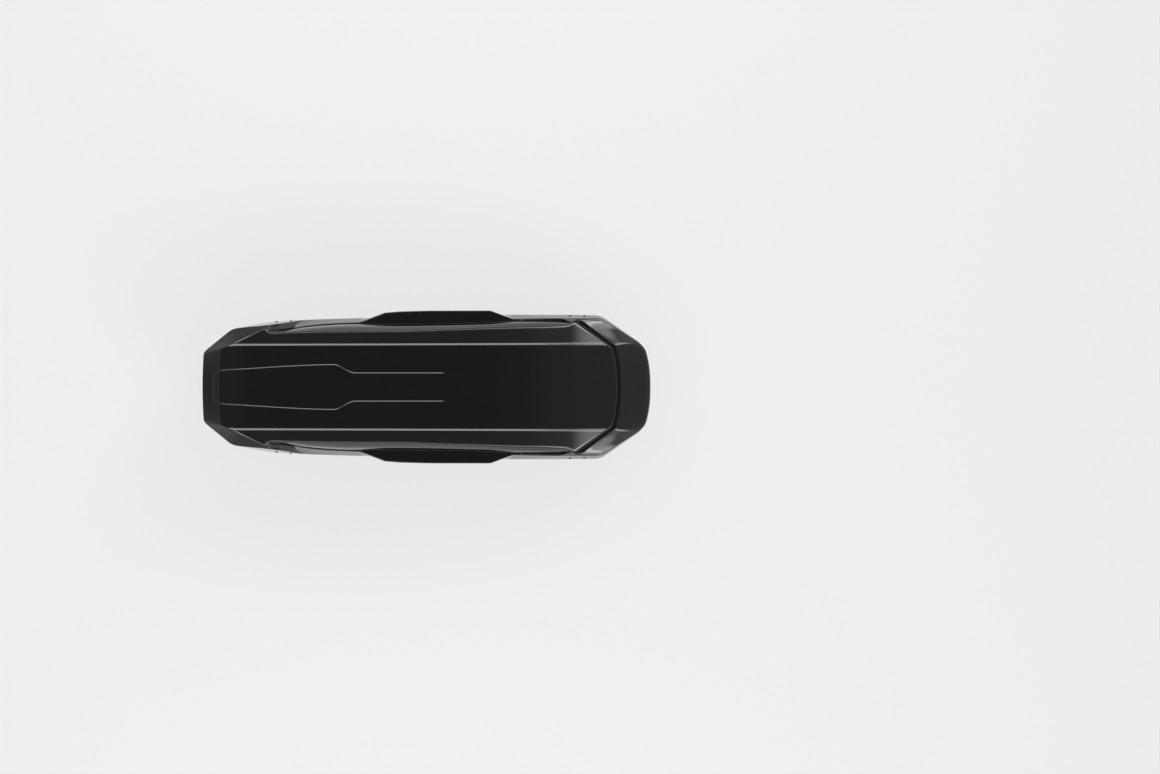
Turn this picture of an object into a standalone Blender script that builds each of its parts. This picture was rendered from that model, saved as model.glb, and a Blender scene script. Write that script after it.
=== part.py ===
"""Dual-side opening roof box: thermoformed base and lid, crossed lifter arms,
sliding lock rods and four crossbar clamps.

Metres, +Z up, +X towards the nose, +Y to the left side of the car.
z = 0 is the lowest point of the clamp jaws; the box seats on the crossbars at SEAT_Z.
"""
import math

import bmesh
import bpy
from mathutils import Matrix, Vector
from mathutils.bvhtree import BVHTree

# Clearance between two pieces that touch
TOUCH = 0.0003

# Shells
WALL = 0.0035
RIM_GAP = 0.005
RIM_OVERLAP = 0.008
SEAT_Z = 0.046
BASE_DEPTH = 0.135
RIM_Z = SEAT_Z + BASE_DEPTH
FLOOR_Z = SEAT_Z + WALL

# Plan of the rim, from the nose back along the left side
LENGTH = 2.05
FRONT_X = LENGTH / 2
REAR_X = -LENGTH / 2
NOSE_HALF = 0.1735
NOSE_BOW = 0.023
NOSE_ROUND_X = 0.027
NOSE_ROUND_Y = 0.032
FRONT_CORNER = (0.808, 0.320)
FRONT_SIDE = (0.792, 0.328)
TAIL_SIDE = (-0.888, 0.269)
TAIL_HALF = 0.162
TAIL_BOW = 0.005
SIDE_LINE = [TAIL_SIDE, (-0.687, 0.300), (-0.253, 0.317), (0.336, 0.331), FRONT_SIDE]

# Grip flare in the middle of each side
FLARE_LINE = [(-0.255, 0.317), (-0.192, 0.3415), (-0.121, 0.347), (0.010, 0.3505), (0.292, 0.351),
              (0.351, 0.331)]
FLARE_LEAN = 0.002

# Heights above the rim
ROOF_H = 0.272
ROOF_PEAK_X = -0.15
ROOF_REAR_H = 0.217
ROOF_FRONT_POWER = 2.2
ROOF_CROWN = 0.006
STEP_H = 0.118
STEP_RISE = 0.014
EDGE_DROP = 0.006
SHOULDER_SLOPE = math.tan(math.radians(24))
BELT_NOSE_H = 0.050
BELT_TAIL_H = 0.190
BELT_TAIL_DROP = 0.020
BELT_FLARE_H = 0.100
BELT_LINE = [(-0.888, 0.165), (-0.745, 0.185), (-0.62, 0.106), (-0.45, 0.100), (0.60, 0.100),
             (0.792, 0.074), (0.808, 0.070)]
LEDGE_RISE = 0.003

# Plan of the upper volume: the step across the nose, its chevrons, the brow and the top's edge
STEP_X = FRONT_X - 0.138
STEP_WIDTH = 0.020
STEP_CORNER = (0.868, 0.172)
CHEVRON_FRONT = (0.8625, 0.1927)
CHEVRON_SIDE = (0.7085, 0.3010)
CHEVRON_WIDTH = 0.034
EDGE_HALF_REAR = 0.185
EDGE_HALF_FRONT = 0.190
EDGE_WIDTH = 0.011
END_ROUND = 0.007
END_DROP = 0.002
CREST = (-0.9405, 0.172)
CREST_X = -0.950
BELT_INSET = 0.007
BELT_TAIL_INSET = 0.011
BELT_SIDE_INSET = [(-0.888, 0.003), (-0.744, 0.013), (-0.60, 0.017), (-0.50, 0.027), (-0.35, 0.023),
                   (0.35, 0.024), (0.50, 0.022), (0.65, 0.015), (0.80, 0.014)]
LEDGE_WIDTH = 0.004
LEDGE_LINE = [(-0.74, 0.256), (-0.678, 0.257), (-0.578, 0.267), (-0.486, 0.2785),
              (-0.349, 0.2865), (-0.212, 0.285), (0.048, 0.2877), (0.199, 0.2904), (0.313, 0.2950),
              (0.404, 0.3015), (0.564, 0.3015), (0.680, 0.3035)]
BROW_REAR = (-0.7345, 0.2650)
BROW_LINE = [BROW_REAR, (-0.728, 0.2600), (-0.722, 0.2560), (-0.700, 0.2515),
             (-0.600, 0.2545), (-0.350, 0.2580), (-0.120, 0.2590), (0.048, 0.2650), (0.200, 0.2700),
             (0.313, 0.2740), (0.473, 0.2785), (0.564, 0.2810), (0.632, 0.2840), (0.655, 0.2890),
             (0.670, 0.2985)]

# Raised panel on the roof
PANEL_RISE = 0.0025
PANEL_EDGE = 0.004
PANEL_FADE = 0.30
PANEL_LINE = [(-0.950, 0.073), (-0.829, 0.085), (-0.655, 0.096), (-0.409, 0.105), (-0.336, 0.0665),
              (0.105, 0.0665)]

# Stations along the side as rim positions, and how far the upper rings stand from them
SIDE_STATIONS = [0.70, 0.60, 0.50, 0.42, 0.351, 0.292, 0.20, 0.105, 0.010, -0.121, -0.192, -0.255,
                 -0.336, -0.409, -0.50, -0.564, -0.60, -0.74]
BELT_SHIFT = [(-0.888, 0.004), (-0.74, -0.005), (-0.60, -0.020), (-0.45, 0.0)]
LEDGE_SHIFT = [(-0.74, -0.010), (-0.60, -0.085), (-0.564, -0.075), (-0.45, 0.0), (0.45, 0.0),
               (0.80, -0.100)]
BROW_SHIFT = [(-0.74, 0.012), (-0.60, -0.122), (-0.564, -0.136), (-0.409, 0.0), (0.45, 0.0),
              (0.80, -0.130)]
RECESS_END_X = -0.58

# Base tub below the rim
LIP_DEPTH = 0.003
DRAFT = math.tan(math.radians(31))
BILGE = 0.022
BILGE_LEAN = 0.016
BILGE_SHARE = 1.2
BOW_SHARE = 0.80
STERN_SHARE = 0.92


def along(points, x):
    """Second value on a broken line through the points at x, flat beyond its ends."""
    if x <= points[0][0]:
        return points[0][1]
    for (xa, ya), (xb, yb) in zip(points, points[1:]):
        if x <= xb:
            return ya + (yb - ya) * (x - xa) / (xb - xa)
    return points[-1][1]


def mix(a, b, share):
    return a + (b - a) * share


def roof_h(x):
    """Roofline above the rim, along the middle."""
    if x >= ROOF_PEAK_X:
        share = (x - ROOF_PEAK_X) / (STEP_X - STEP_WIDTH - ROOF_PEAK_X)
        return ROOF_H - (ROOF_H - STEP_H - STEP_RISE) * share ** ROOF_FRONT_POWER
    share = (x - ROOF_PEAK_X) / (CREST_X - ROOF_PEAK_X)
    return ROOF_H - (ROOF_H - ROOF_REAR_H) * share ** 2


def edge_half(x):
    """Half width of the flat top."""
    return mix(EDGE_HALF_REAR, EDGE_HALF_FRONT, (x - CREST_X) / (STEP_X - CREST_X))


def panel_rise(x):
    """Height of the raised panel over the roof, which fades out forwards."""
    return PANEL_RISE * max(0.0, min(1.0, (PANEL_LINE[-1][0] - x) / PANEL_FADE))


def top_h(x, y):
    share = min(1.0, abs(y) / edge_half(x))
    return roof_h(x) - ROOF_CROWN * share ** 2


def shoulder_h(x, y):
    """Height of the shoulder, which falls away outside the flat top."""
    outside = max(0.0, y - edge_half(x) - EDGE_WIDTH)
    return top_h(x, edge_half(x)) - EDGE_DROP - SHOULDER_SLOPE * outside


def rim_half(x, flare=True):
    """Half width of the rim at x, along the side."""
    side = along(SIDE_LINE, x)
    if flare and FLARE_LINE[0][0] < x < FLARE_LINE[-1][0]:
        return max(side, along(FLARE_LINE, x))
    return side


def columns(x):
    """Half widths of the roof's columns: middle, panel top, panel foot, lane and edge."""
    half = edge_half(x)
    panel = along(PANEL_LINE, x)
    return [0.0, panel - PANEL_EDGE, panel, mix(panel, half, 0.5), half]


def cross_row(middle_x, corner, column_x):
    """Points from the middle out to a corner, bowed towards it, on the roof's columns."""
    halves = columns(column_x)
    shares = [half / halves[-1] for half in halves]
    return [(mix(middle_x, corner[0], share ** 2), corner[1] * share) for share in shares]


def steps(start, end, count):
    """Points that divide the line from start to end into count parts, without its ends."""
    return [tuple(Vector(start).lerp(Vector(end), k / count)) for k in range(1, count)]


def half_ring(nose_x, nose_inner, nose_outer, side, tail_corner, tail_x):
    """Half loop in plan: nose row, front corner, side, rear corner and tail row."""
    plan = cross_row(nose_x, nose_inner, FRONT_X) + [nose_outer]
    plan += steps(nose_outer, side[0], 4) + side
    plan += steps(side[-1], tail_corner, 3)
    plan += reversed(cross_row(tail_x, tail_corner, REAR_X))
    return plan


NOSE_POINTS = len(columns(FRONT_X))
FIRST_SIDE = NOSE_POINTS + 4
RIM_STATIONS = [FRONT_CORNER[0], FRONT_SIDE[0]] + SIDE_STATIONS + [TAIL_SIDE[0]]
NOSE_CORNER = (FRONT_X - NOSE_BOW, NOSE_HALF)
NOSE_OUTER = (NOSE_CORNER[0] - NOSE_ROUND_X, NOSE_HALF + NOSE_ROUND_Y)
TAIL_CORNER = (REAR_X + TAIL_BOW, TAIL_HALF)


def rim_plan(flare):
    side = [FRONT_CORNER] + [(x, rim_half(x, flare)) for x in RIM_STATIONS[1:]]
    return half_ring(FRONT_X, NOSE_CORNER, NOSE_OUTER, side, TAIL_CORNER, REAR_X)


def belt_plan():
    side = [(FRONT_CORNER[0] - BELT_INSET, FRONT_CORNER[1] - BELT_SIDE_INSET[-1][1])]
    for x in RIM_STATIONS[1:]:
        place = x + along(BELT_SHIFT, x)
        half = rim_half(place, False) - along(BELT_SIDE_INSET, place)
        if rim_half(place) > rim_half(place, False):
            half = max(half, rim_half(place) - FLARE_LEAN)
        side.append((place, half))
    nose_inner = (NOSE_CORNER[0] - BELT_INSET, NOSE_CORNER[1] - BELT_INSET / 2)
    nose_outer = (NOSE_OUTER[0] - BELT_INSET, NOSE_OUTER[1] - BELT_INSET)
    tail = (TAIL_CORNER[0] + BELT_TAIL_INSET, TAIL_CORNER[1] - BELT_TAIL_INSET / 3)
    return half_ring(FRONT_X - BELT_INSET, nose_inner, nose_outer, side, tail,
                     REAR_X + BELT_TAIL_INSET)


def ledge_plan(inner):
    """Outer or inner edge of the ledge: nose step, chevrons and the line along the side."""
    back = STEP_WIDTH - 0.002 if inner else 0.0
    slip = CHEVRON_WIDTH - 0.003 if inner else 0.0
    side = [(CHEVRON_SIDE[0] - slip, CHEVRON_SIDE[1]),
            (CHEVRON_SIDE[0] - slip - 0.007, CHEVRON_SIDE[1] + 0.002)]
    belt = belt_plan()[FIRST_SIDE:]
    for k, x in enumerate(RIM_STATIONS[2:], 2):
        place = x + along(LEDGE_SHIFT, x)
        half = along(LEDGE_LINE, place)
        if not inner:
            outside = belt[k][1] - LEDGE_WIDTH if RECESS_END_X < x < 0.5 else 0.0
            half = max(half + LEDGE_WIDTH, outside)
        side.append((place, half))
    nose_outer = (CHEVRON_FRONT[0] - slip, CHEVRON_FRONT[1])
    nose_inner = (STEP_CORNER[0] - back, STEP_CORNER[1])
    return half_ring(STEP_X - back, nose_inner, nose_outer, side, CREST, CREST_X)


def brow_plan():
    """Upper edge of the side recess and of the chevrons, and the crest of the rear corners."""
    side = [(CHEVRON_SIDE[0] - CHEVRON_WIDTH, CHEVRON_SIDE[1] - 0.002),
            (CHEVRON_SIDE[0] - CHEVRON_WIDTH - 0.006, CHEVRON_SIDE[1] - 0.0035)]
    for x in RIM_STATIONS[2:-1]:
        place = x + along(BROW_SHIFT, x)
        side.append((place, along(BROW_LINE, place)))
    side.append(BROW_REAR)
    nose_outer = (CHEVRON_FRONT[0] - CHEVRON_WIDTH - 0.007, CHEVRON_FRONT[1] + 0.003)
    nose_inner = (STEP_CORNER[0] - STEP_WIDTH, STEP_CORNER[1] - 0.002)
    return half_ring(STEP_X - STEP_WIDTH, nose_inner, nose_outer, side, CREST, CREST_X)


def edge_plan(width, end_inset, brow):
    """Line round the flat top: this far outside its edge, and this far inside the brow at the ends."""
    plan = []
    last = len(brow) - NOSE_POINTS
    for k, (x, y) in enumerate(brow):
        if k < NOSE_POINTS:
            share = k / (NOSE_POINTS - 1)
            plan.append((x - end_inset, y - end_inset * share / 2))
        elif k >= last:
            share = (len(brow) - 1 - k) / (NOSE_POINTS - 1)
            plan.append((x + end_inset, y - end_inset * share))
        else:
            plan.append((x, edge_half(x) + min(width, (y - edge_half(x)) / 2)))
    return plan


def lift(plan, height):
    return [Vector((x, y, RIM_Z + height(k, x, y))) for k, (x, y) in enumerate(plan)]


def lid_rings():
    """Rings of the lid's outer face, half a loop each, from the rim up to the flat top's edge."""
    count = len(rim_plan(True))
    tail_from = FIRST_SIDE + len(RIM_STATIONS)

    def belt_h(k, x, y):
        if k < NOSE_POINTS:
            return BELT_NOSE_H
        if k < FIRST_SIDE:
            return mix(BELT_NOSE_H, BELT_LINE[-1][1], (k - NOSE_POINTS + 1) / 5)
        if k < tail_from:
            return along(BELT_LINE, x)
        tail_h = BELT_TAIL_H - BELT_TAIL_DROP * (y / TAIL_HALF) ** 2
        return mix(BELT_LINE[0][1], tail_h, min(1.0, (k - tail_from + 1) / 3))

    def ledge_h(k, x, y):
        if k < FIRST_SIDE:
            return mix(STEP_H, BELT_FLARE_H + LEDGE_RISE, max(0, k - NOSE_POINTS + 1) / 5)
        return max(along(BELT_LINE, x), BELT_FLARE_H) + LEDGE_RISE

    def brow_h(k, x, y):
        if k < NOSE_POINTS:
            return STEP_H + STEP_RISE
        return max(shoulder_h(x, y), ledge_h(k, x, y) + STEP_RISE / 2)

    def foot_h(k, x, y):
        if k < NOSE_POINTS or k >= count - NOSE_POINTS:
            return top_h(x, y) - END_DROP
        return shoulder_h(x, y)

    rim = lift(rim_plan(True), lambda k, x, y: 0.0)
    belt = lift(belt_plan(), belt_h)
    brow_flat = brow_plan()
    brow = lift(brow_flat, brow_h)
    ledges = []
    for inner in (False, True):
        ledge = lift(ledge_plan(inner), ledge_h)
        for k in range(FIRST_SIDE, count):
            x = RIM_STATIONS[k - FIRST_SIDE] if k < tail_from else TAIL_SIDE[0]
            if x < RECESS_END_X:
                ledge[k] = belt[k].lerp(brow[k], 0.10 if inner else 0.05)
        ledges.append(ledge)
    foot = lift(edge_plan(EDGE_WIDTH, END_ROUND / 2, brow_flat), foot_h)
    edge = lift(edge_plan(0.0, END_ROUND, brow_flat), lambda k, x, y: top_h(x, y))
    return [rim, belt] + ledges + [brow, foot, edge]


def mirrored(point):
    return Vector((point.x, -point.y, point.z))


def full_loop(half):
    """Closed loop from a half one whose first and last points lie on the middle."""
    return half + [mirrored(p) for p in reversed(half[1:-1])]


def skin(rings, roof):
    """Open sheet through the rings, closed by the roof's rows inside the last ring.

    roof gives, for each row between the nose row and the tail row, its points from the middle
    out to the one before the edge.
    """
    bm = bmesh.new()
    loops = [[bm.verts.new(p) for p in full_loop(half)] for half in rings]
    size = len(loops[0])
    for lower, upper in zip(loops, loops[1:]):
        for k in range(size):
            n = (k + 1) % size
            bm.faces.new((lower[k], lower[n], upper[n], upper[k]))
    top = loops[-1]
    middle = len(rings[0]) - 1
    last = NOSE_POINTS - 1
    spine = [bm.verts.new(row[0]) for row in roof]
    for side in (1, -1):
        grid = [[top[side * k] for k in range(NOSE_POINTS)]]
        for r, row in enumerate(roof, 1):
            between = [bm.verts.new((p.x, side * p.y, p.z)) for p in row[1:]]
            grid.append([spine[r - 1]] + between + [top[side * (last + r)]])
        grid.append([top[(middle - side * k) % size] for k in range(NOSE_POINTS)])
        for upper, lower in zip(grid, grid[1:]):
            for c in range(last):
                bm.faces.new((upper[c], upper[c + 1], lower[c + 1], lower[c]))
    bmesh.ops.recalc_face_normals(bm, faces=bm.faces)
    return bm, loops[0]


def thicken(bm, rim, wall):
    """Give an open sheet its wall, inwards, with a flat lip at the rim."""
    bm.normal_update()
    if (bm.faces[0].calc_center_median() - Vector((0, 0, RIM_Z))).dot(bm.faces[0].normal) < 0:
        bmesh.ops.reverse_faces(bm, faces=bm.faces)
        bm.normal_update()
    outer = list(bm.faces)
    inner = {v: bm.verts.new(v.co - v.normal * wall) for v in list(bm.verts)}
    for v in rim:
        flat = Vector((v.normal.x, v.normal.y, 0)).normalized()
        inner[v].co = v.co - flat * wall
    for face in outer:
        bm.faces.new([inner[v] for v in reversed(face.verts)])
    size = len(rim)
    for k in range(size):
        n = (k + 1) % size
        bm.faces.new((rim[k], rim[n], inner[rim[n]], inner[rim[k]]))
    bmesh.ops.recalc_face_normals(bm, faces=bm.faces)
    return bm


def inset_plan(plan, distance):
    """Half loop in plan, moved inwards by a small distance; its ends stay on the middle."""
    points = [Vector(p) for p in plan]
    points = [Vector((points[1].x, -points[1].y))] + points + [Vector((points[-2].x, -points[-2].y))]
    moved = []
    for before, p, after in zip(points, points[1:], points[2:]):
        tangent = ((p - before).normalized() + (after - p).normalized()).normalized()
        reach = distance / tangent.dot((p - before).normalized())
        moved.append(p + Vector((-tangent.y, tangent.x)) * reach * (-1 if tangent.x > 0 else 1))
    return moved


def base_rings():
    """Rings of the base tub's outer face, half a loop each, from its top edge to the floor."""
    lip = inset_plan(rim_plan(False), WALL + RIM_GAP)
    draft = DRAFT * (BASE_DEPTH - BILGE)
    rings = []
    levels = [(RIM_OVERLAP, 0.0, 0.0), (-LIP_DEPTH, 0.0, 0.0), (BILGE - BASE_DEPTH, draft, 1.0),
              (-BASE_DEPTH, draft + BILGE_LEAN, BILGE_SHARE)]
    for height, lean, share in levels:
        ring = []
        for x, y in lip:
            end = BOW_SHARE if x > 0 else STERN_SHARE
            kept = 1 - (1 - end) * share * (x / FRONT_X) ** 2
            ring.append(Vector((x * kept, y - lean * min(1.0, y / TAIL_HALF), RIM_Z + height)))
        rings.append(ring)
    return rings


def material(name, colour, roughness, metallic=0.0):
    mat = bpy.data.materials.new(name)
    mat.use_nodes = True
    shader = mat.node_tree.nodes["Principled BSDF"]
    shader.inputs["Base Color"].default_value = (*colour, 1.0)
    shader.inputs["Roughness"].default_value = roughness
    shader.inputs["Metallic"].default_value = metallic
    mat.diffuse_color = (*colour, 1.0)
    return mat


def piece(name, bm, mat, place=(0, 0, 0), smooth=None):
    """Object from a bmesh; its origin is at place, in whose frame the mesh is drawn."""
    mesh = bpy.data.meshes.new(name)
    bm.to_mesh(mesh)
    bm.free()
    if smooth:
        mesh.shade_smooth()
        mesh.set_sharp_from_angle(angle=math.radians(smooth))
    obj = bpy.data.objects.new(name, mesh)
    bpy.context.scene.collection.objects.link(obj)
    obj.location = place
    mesh.materials.append(mat)
    return obj


def build_lid(mat):
    rings = lid_rings()
    edge = rings[-1]
    for k in (-1, -2):
        edge[k].z += panel_rise(edge[k].x)
    roof = []
    for p in edge[NOSE_POINTS:len(edge) - NOSE_POINTS]:
        row = []
        for c, half in enumerate(columns(p.x)[:-1]):
            raised = panel_rise(p.x) if c < 2 else 0.0
            row.append(Vector((p.x, half, RIM_Z + top_h(p.x, half) + raised)))
        roof.append(row)
    bm, rim = skin(rings, roof)
    thicken(bm, rim, WALL)
    return piece("lid_shell", bm, mat, smooth=30)


def build_base(mat):
    rings = base_rings()
    floor = rings[-1]
    roof = []
    for p in floor[NOSE_POINTS:len(floor) - NOSE_POINTS]:
        shares = [half / columns(p.x)[-1] for half in columns(p.x)[:-1]]
        roof.append([Vector((p.x, p.y * share, p.z)) for share in shares])
    bm, rim = skin(rings, roof)
    thicken(bm, rim, WALL)
    return piece("base_shell", bm, mat, smooth=30)


def apply_modifiers(obj):
    """Keep the shape that an object's modifiers give it, and drop them."""
    shown = obj.evaluated_get(bpy.context.evaluated_depsgraph_get())
    obj.data = bpy.data.meshes.new_from_object(shown)
    obj.modifiers.clear()


def combine(obj, others, operation):
    """Join solids to obj, or cut them out of it, and keep only obj."""
    bpy.context.view_layer.update()
    for other in others:
        cut = obj.modifiers.new("combine", "BOOLEAN")
        cut.operation = operation
        cut.solver = "EXACT"
        cut.object = other
        apply_modifiers(obj)
        bpy.data.objects.remove(other)
    return obj


def join(obj, others):
    return combine(obj, others, "UNION")


def cut(obj, others):
    return combine(obj, others, "DIFFERENCE")


def prism(name, profile, low, high, axis, mat, place=(0, 0, 0)):
    """Solid from a plan profile, drawn out along an axis from low to high.

    The profile's two values lie on the other two axes: y and z for X, x and z for Y, x and y for Z.
    """
    bm = bmesh.new()
    slot = "XYZ".index(axis)
    ends = [[bm.verts.new((*p[:slot], c, *p[slot:])) for p in profile] for c in (low, high)]
    bm.faces.new(ends[0])
    bm.faces.new(ends[1])
    for k in range(len(profile)):
        n = (k + 1) % len(profile)
        bm.faces.new((ends[0][k], ends[0][n], ends[1][n], ends[1][k]))
    bmesh.ops.recalc_face_normals(bm, faces=bm.faces)
    return piece(name, bm, mat, place)


def block(name, low, high, mat, place=(0, 0, 0)):
    """Box between two corners."""
    profile = [(low[0], low[1]), (high[0], low[1]), (high[0], high[1]), (low[0], high[1])]
    return prism(name, profile, low[2], high[2], "Z", mat, place)


def arc(radius, start, end, count, centre=(0.0, 0.0)):
    """Points of an arc, in degrees, ends included."""
    angles = [math.radians(mix(start, end, k / count)) for k in range(count + 1)]
    return [(centre[0] + radius * math.cos(a), centre[1] + radius * math.sin(a)) for a in angles]


def disc(radius, sides):
    return arc(radius, 0, 360 * (sides - 1) / sides, sides - 1)


def bar(name, radius, low, high, axis, mat, centre=(0.0, 0.0), sides=16, place=(0, 0, 0)):
    """Round bar along an axis, about a centre in the other two axes."""
    profile = [(a + centre[0], b + centre[1]) for a, b in disc(radius, sides)]
    return prism(name, profile, low, high, axis, mat, place)


def to_side(obj, side):
    """Move a piece drawn for the left side to its own side."""
    if side < 0:
        obj.data.transform(Matrix.Scale(-1, 4, (0, 1, 0)))
        obj.data.flip_normals()
        obj.location.y *= -1
    return obj


def tree_of(obj):
    bm = bmesh.new()
    bm.from_mesh(obj.data)
    tree = BVHTree.FromBMesh(bm)
    bm.free()
    return tree


def wall_at(tree, x, z, from_y=0.0, outwards=True):
    """Where a level ray along Y meets a wall on the left side, and the wall's normal."""
    point, normal = tree.ray_cast(Vector((x, from_y, z)), Vector((0, 1 if outwards else -1, 0)))[:2]
    return point, normal


# Hinge and lock line on each side
SIDES = {"left": 1, "right": -1}
AXIS_Y = 0.262
AXIS_Z = RIM_Z
UNITS = {"rear": (-0.654, -1), "front": (0.688, 1)}
BORE_GAP = 0.0004
ROD_RADIUS = 0.004
HEAD_RADIUS = 0.007
HEAD_LENGTH = 0.009
HEAD_LEAD = 0.001
ROD_TAIL = 0.002
LOCK_TRAVEL = 0.018
HOOK_WIDTH = 0.006
HOOK_BORE = HEAD_RADIUS + 0.0006
HOOK_MOUTH = ROD_RADIUS + 0.0006
HOOK_WALL = 0.0035
NECK_GAP = 0.004
NECK_LIP = 0.0035
PLATE = 0.003
GUIDE_PLACE = {"rear": 0.012, "front": -0.030}
INNER_PLATE = 0.027
ARM_WIDTH = 0.006
SPRING_ROOM = 0.011
SLICE_GAP = 0.001
STUD_RADIUS = 0.005
ARM_HALF = 0.011
BOSS_RADIUS = 0.010
FLANGE = 0.0025
FLANGE_LOW = 0.017
FLANGE_MARGIN = 0.017
FLANGE_HALF = 0.041
SEAT_GAP = 0.0005
WEB_HIGH = -0.026
WEB_LOW = -0.070
WEB_FOOT = 0.020
WELD = 0.001
SPRING_WIRE = 0.0011
SPRING_TURNS = 4
SPRING_LEG = 0.021
RIVET_SPREAD = 0.0325
RIVET_H = 0.023
RIVET_SHANK = 0.0024
RIVET_HEAD = 0.0055
RIVET_DOME = 0.0018

INNER_ARM = INNER_PLATE + PLATE + SPRING_ROOM
OUTER_ARM = INNER_ARM + ARM_WIDTH + 2 * SLICE_GAP + 0.002
OUTER_PLATE = OUTER_ARM + ARM_WIDTH + SPRING_ROOM
STUD_END = INNER_ARM + ARM_WIDTH + SLICE_GAP
PIN_START = OUTER_ARM - SLICE_GAP


def slab(name, tree, span, levels, thickness, mat):
    """Plate that lies inside a wall, between two X places and two heights."""
    corners = {z: [wall_at(tree, x, z)[0].y for x in span] for z in levels}
    worst = 0.0
    for across in range(17):
        x = mix(*span, across / 16)
        for up in range(9):
            z = mix(*levels, up / 8)
            worst = max(worst, slab_half(corners, span, levels, x, z) - wall_at(tree, x, z)[0].y)
    for z in levels:
        corners[z] = [y - worst - SEAT_GAP for y in corners[z]]
    bm = bmesh.new()
    verts = []
    for z in levels:
        for x, y in zip(span, corners[z]):
            verts.append((bm.verts.new((x, y - thickness, z)), bm.verts.new((x, y, z))))
    low_a, low_b, high_a, high_b = verts
    for ring in ((low_a, low_b), (low_b, high_b), (high_b, high_a), (high_a, low_a)):
        (a, b), (c, d) = ring
        bm.faces.new((a, b, d, c))
    bm.faces.new([v[0] for v in (low_a, low_b, high_b, high_a)])
    bm.faces.new([v[1] for v in (low_a, low_b, high_b, high_a)])
    bmesh.ops.recalc_face_normals(bm, faces=bm.faces)
    return piece(name, bm, mat), corners


def slab_half(corners, span, levels, x, z):
    """Half width of a slab's outer face at x and z."""
    share = (x - span[0]) / (span[1] - span[0])
    rows = [mix(*corners[level], share) for level in levels]
    return mix(*rows, (z - levels[0]) / (levels[1] - levels[0]))


def edge_radius(x):
    """How far the base's top edge stands from the hinge axis."""
    half = rim_half(x, False) - WALL - RIM_GAP - AXIS_Y
    return math.hypot(half, RIM_OVERLAP)


def build_lid_bracket(unit, side_name, tree, mat):
    """Hook over the lock rod and pivot for one lifter arm, riveted inside the lid."""
    centre, way = UNITS[unit]
    far = OUTER_PLATE + PLATE if side_name == "left" else INNER_PLATE + PLATE
    ends = sorted((-way * FLANGE_HALF, way * max(far, FLANGE_HALF)))
    span = [centre + end for end in ends]
    neck = max(edge_radius(x) for x in (centre, *span)) + NECK_GAP
    top = neck + FLANGE_MARGIN
    levels = [AXIS_Z + FLANGE_LOW, AXIS_Z + top]
    name = f"lid_bracket_{unit}_{side_name}"
    bracket, corners = slab(name, tree, span, levels, FLANGE, mat)
    boss = HOOK_BORE + HOOK_WALL

    def plate(low, hook):
        x = centre + low + (HOOK_WIDTH if hook else PLATE) / 2
        high = slab_half(corners, span, levels, x, levels[1]) - AXIS_Y - FLANGE / 2
        mid = slab_half(corners, span, levels, x, AXIS_Z + neck) - AXIS_Y - FLANGE / 2
        outline = [(-boss, 0.0), (-boss, top - WELD), (high, top - WELD), (mid, neck), (NECK_LIP, neck),
                   (NECK_LIP, math.sqrt(boss ** 2 - NECK_LIP ** 2))]
        outline += arc(boss, 55, 0, 4)
        if hook:
            turn = math.degrees(math.asin(HOOK_MOUTH / HOOK_BORE))
            outline += [(boss, -boss), (HOOK_MOUTH, -boss)]
            outline += arc(HOOK_BORE, -90 + turn, 270 - turn, 20)
            outline += [(-HOOK_MOUTH, -boss), (-boss, -boss)]
        else:
            outline += arc(boss, -20, -160, 7)
        width = HOOK_WIDTH if hook else PLATE
        shifted = [(a + AXIS_Y, b + AXIS_Z) for a, b in outline]
        return prism("plate", shifted, centre + low, centre + low + width, "X", mat)

    parts = [plate(-HOOK_WIDTH / 2, True)]
    if side_name == "left":
        low, high = sorted((way * OUTER_PLATE, way * (OUTER_PLATE + PLATE)))
        pin = sorted((way * PIN_START, way * (OUTER_PLATE + PLATE / 2)))
    else:
        low, high = sorted((way * INNER_PLATE, way * (INNER_PLATE + PLATE)))
        pin = sorted((way * (INNER_PLATE + PLATE / 2), way * STUD_END))
    parts.append(plate(low, False))
    parts.append(bar("pin", STUD_RADIUS, centre + pin[0], centre + pin[1], "X", mat, (AXIS_Y, AXIS_Z)))
    return join(bracket, parts)


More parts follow.
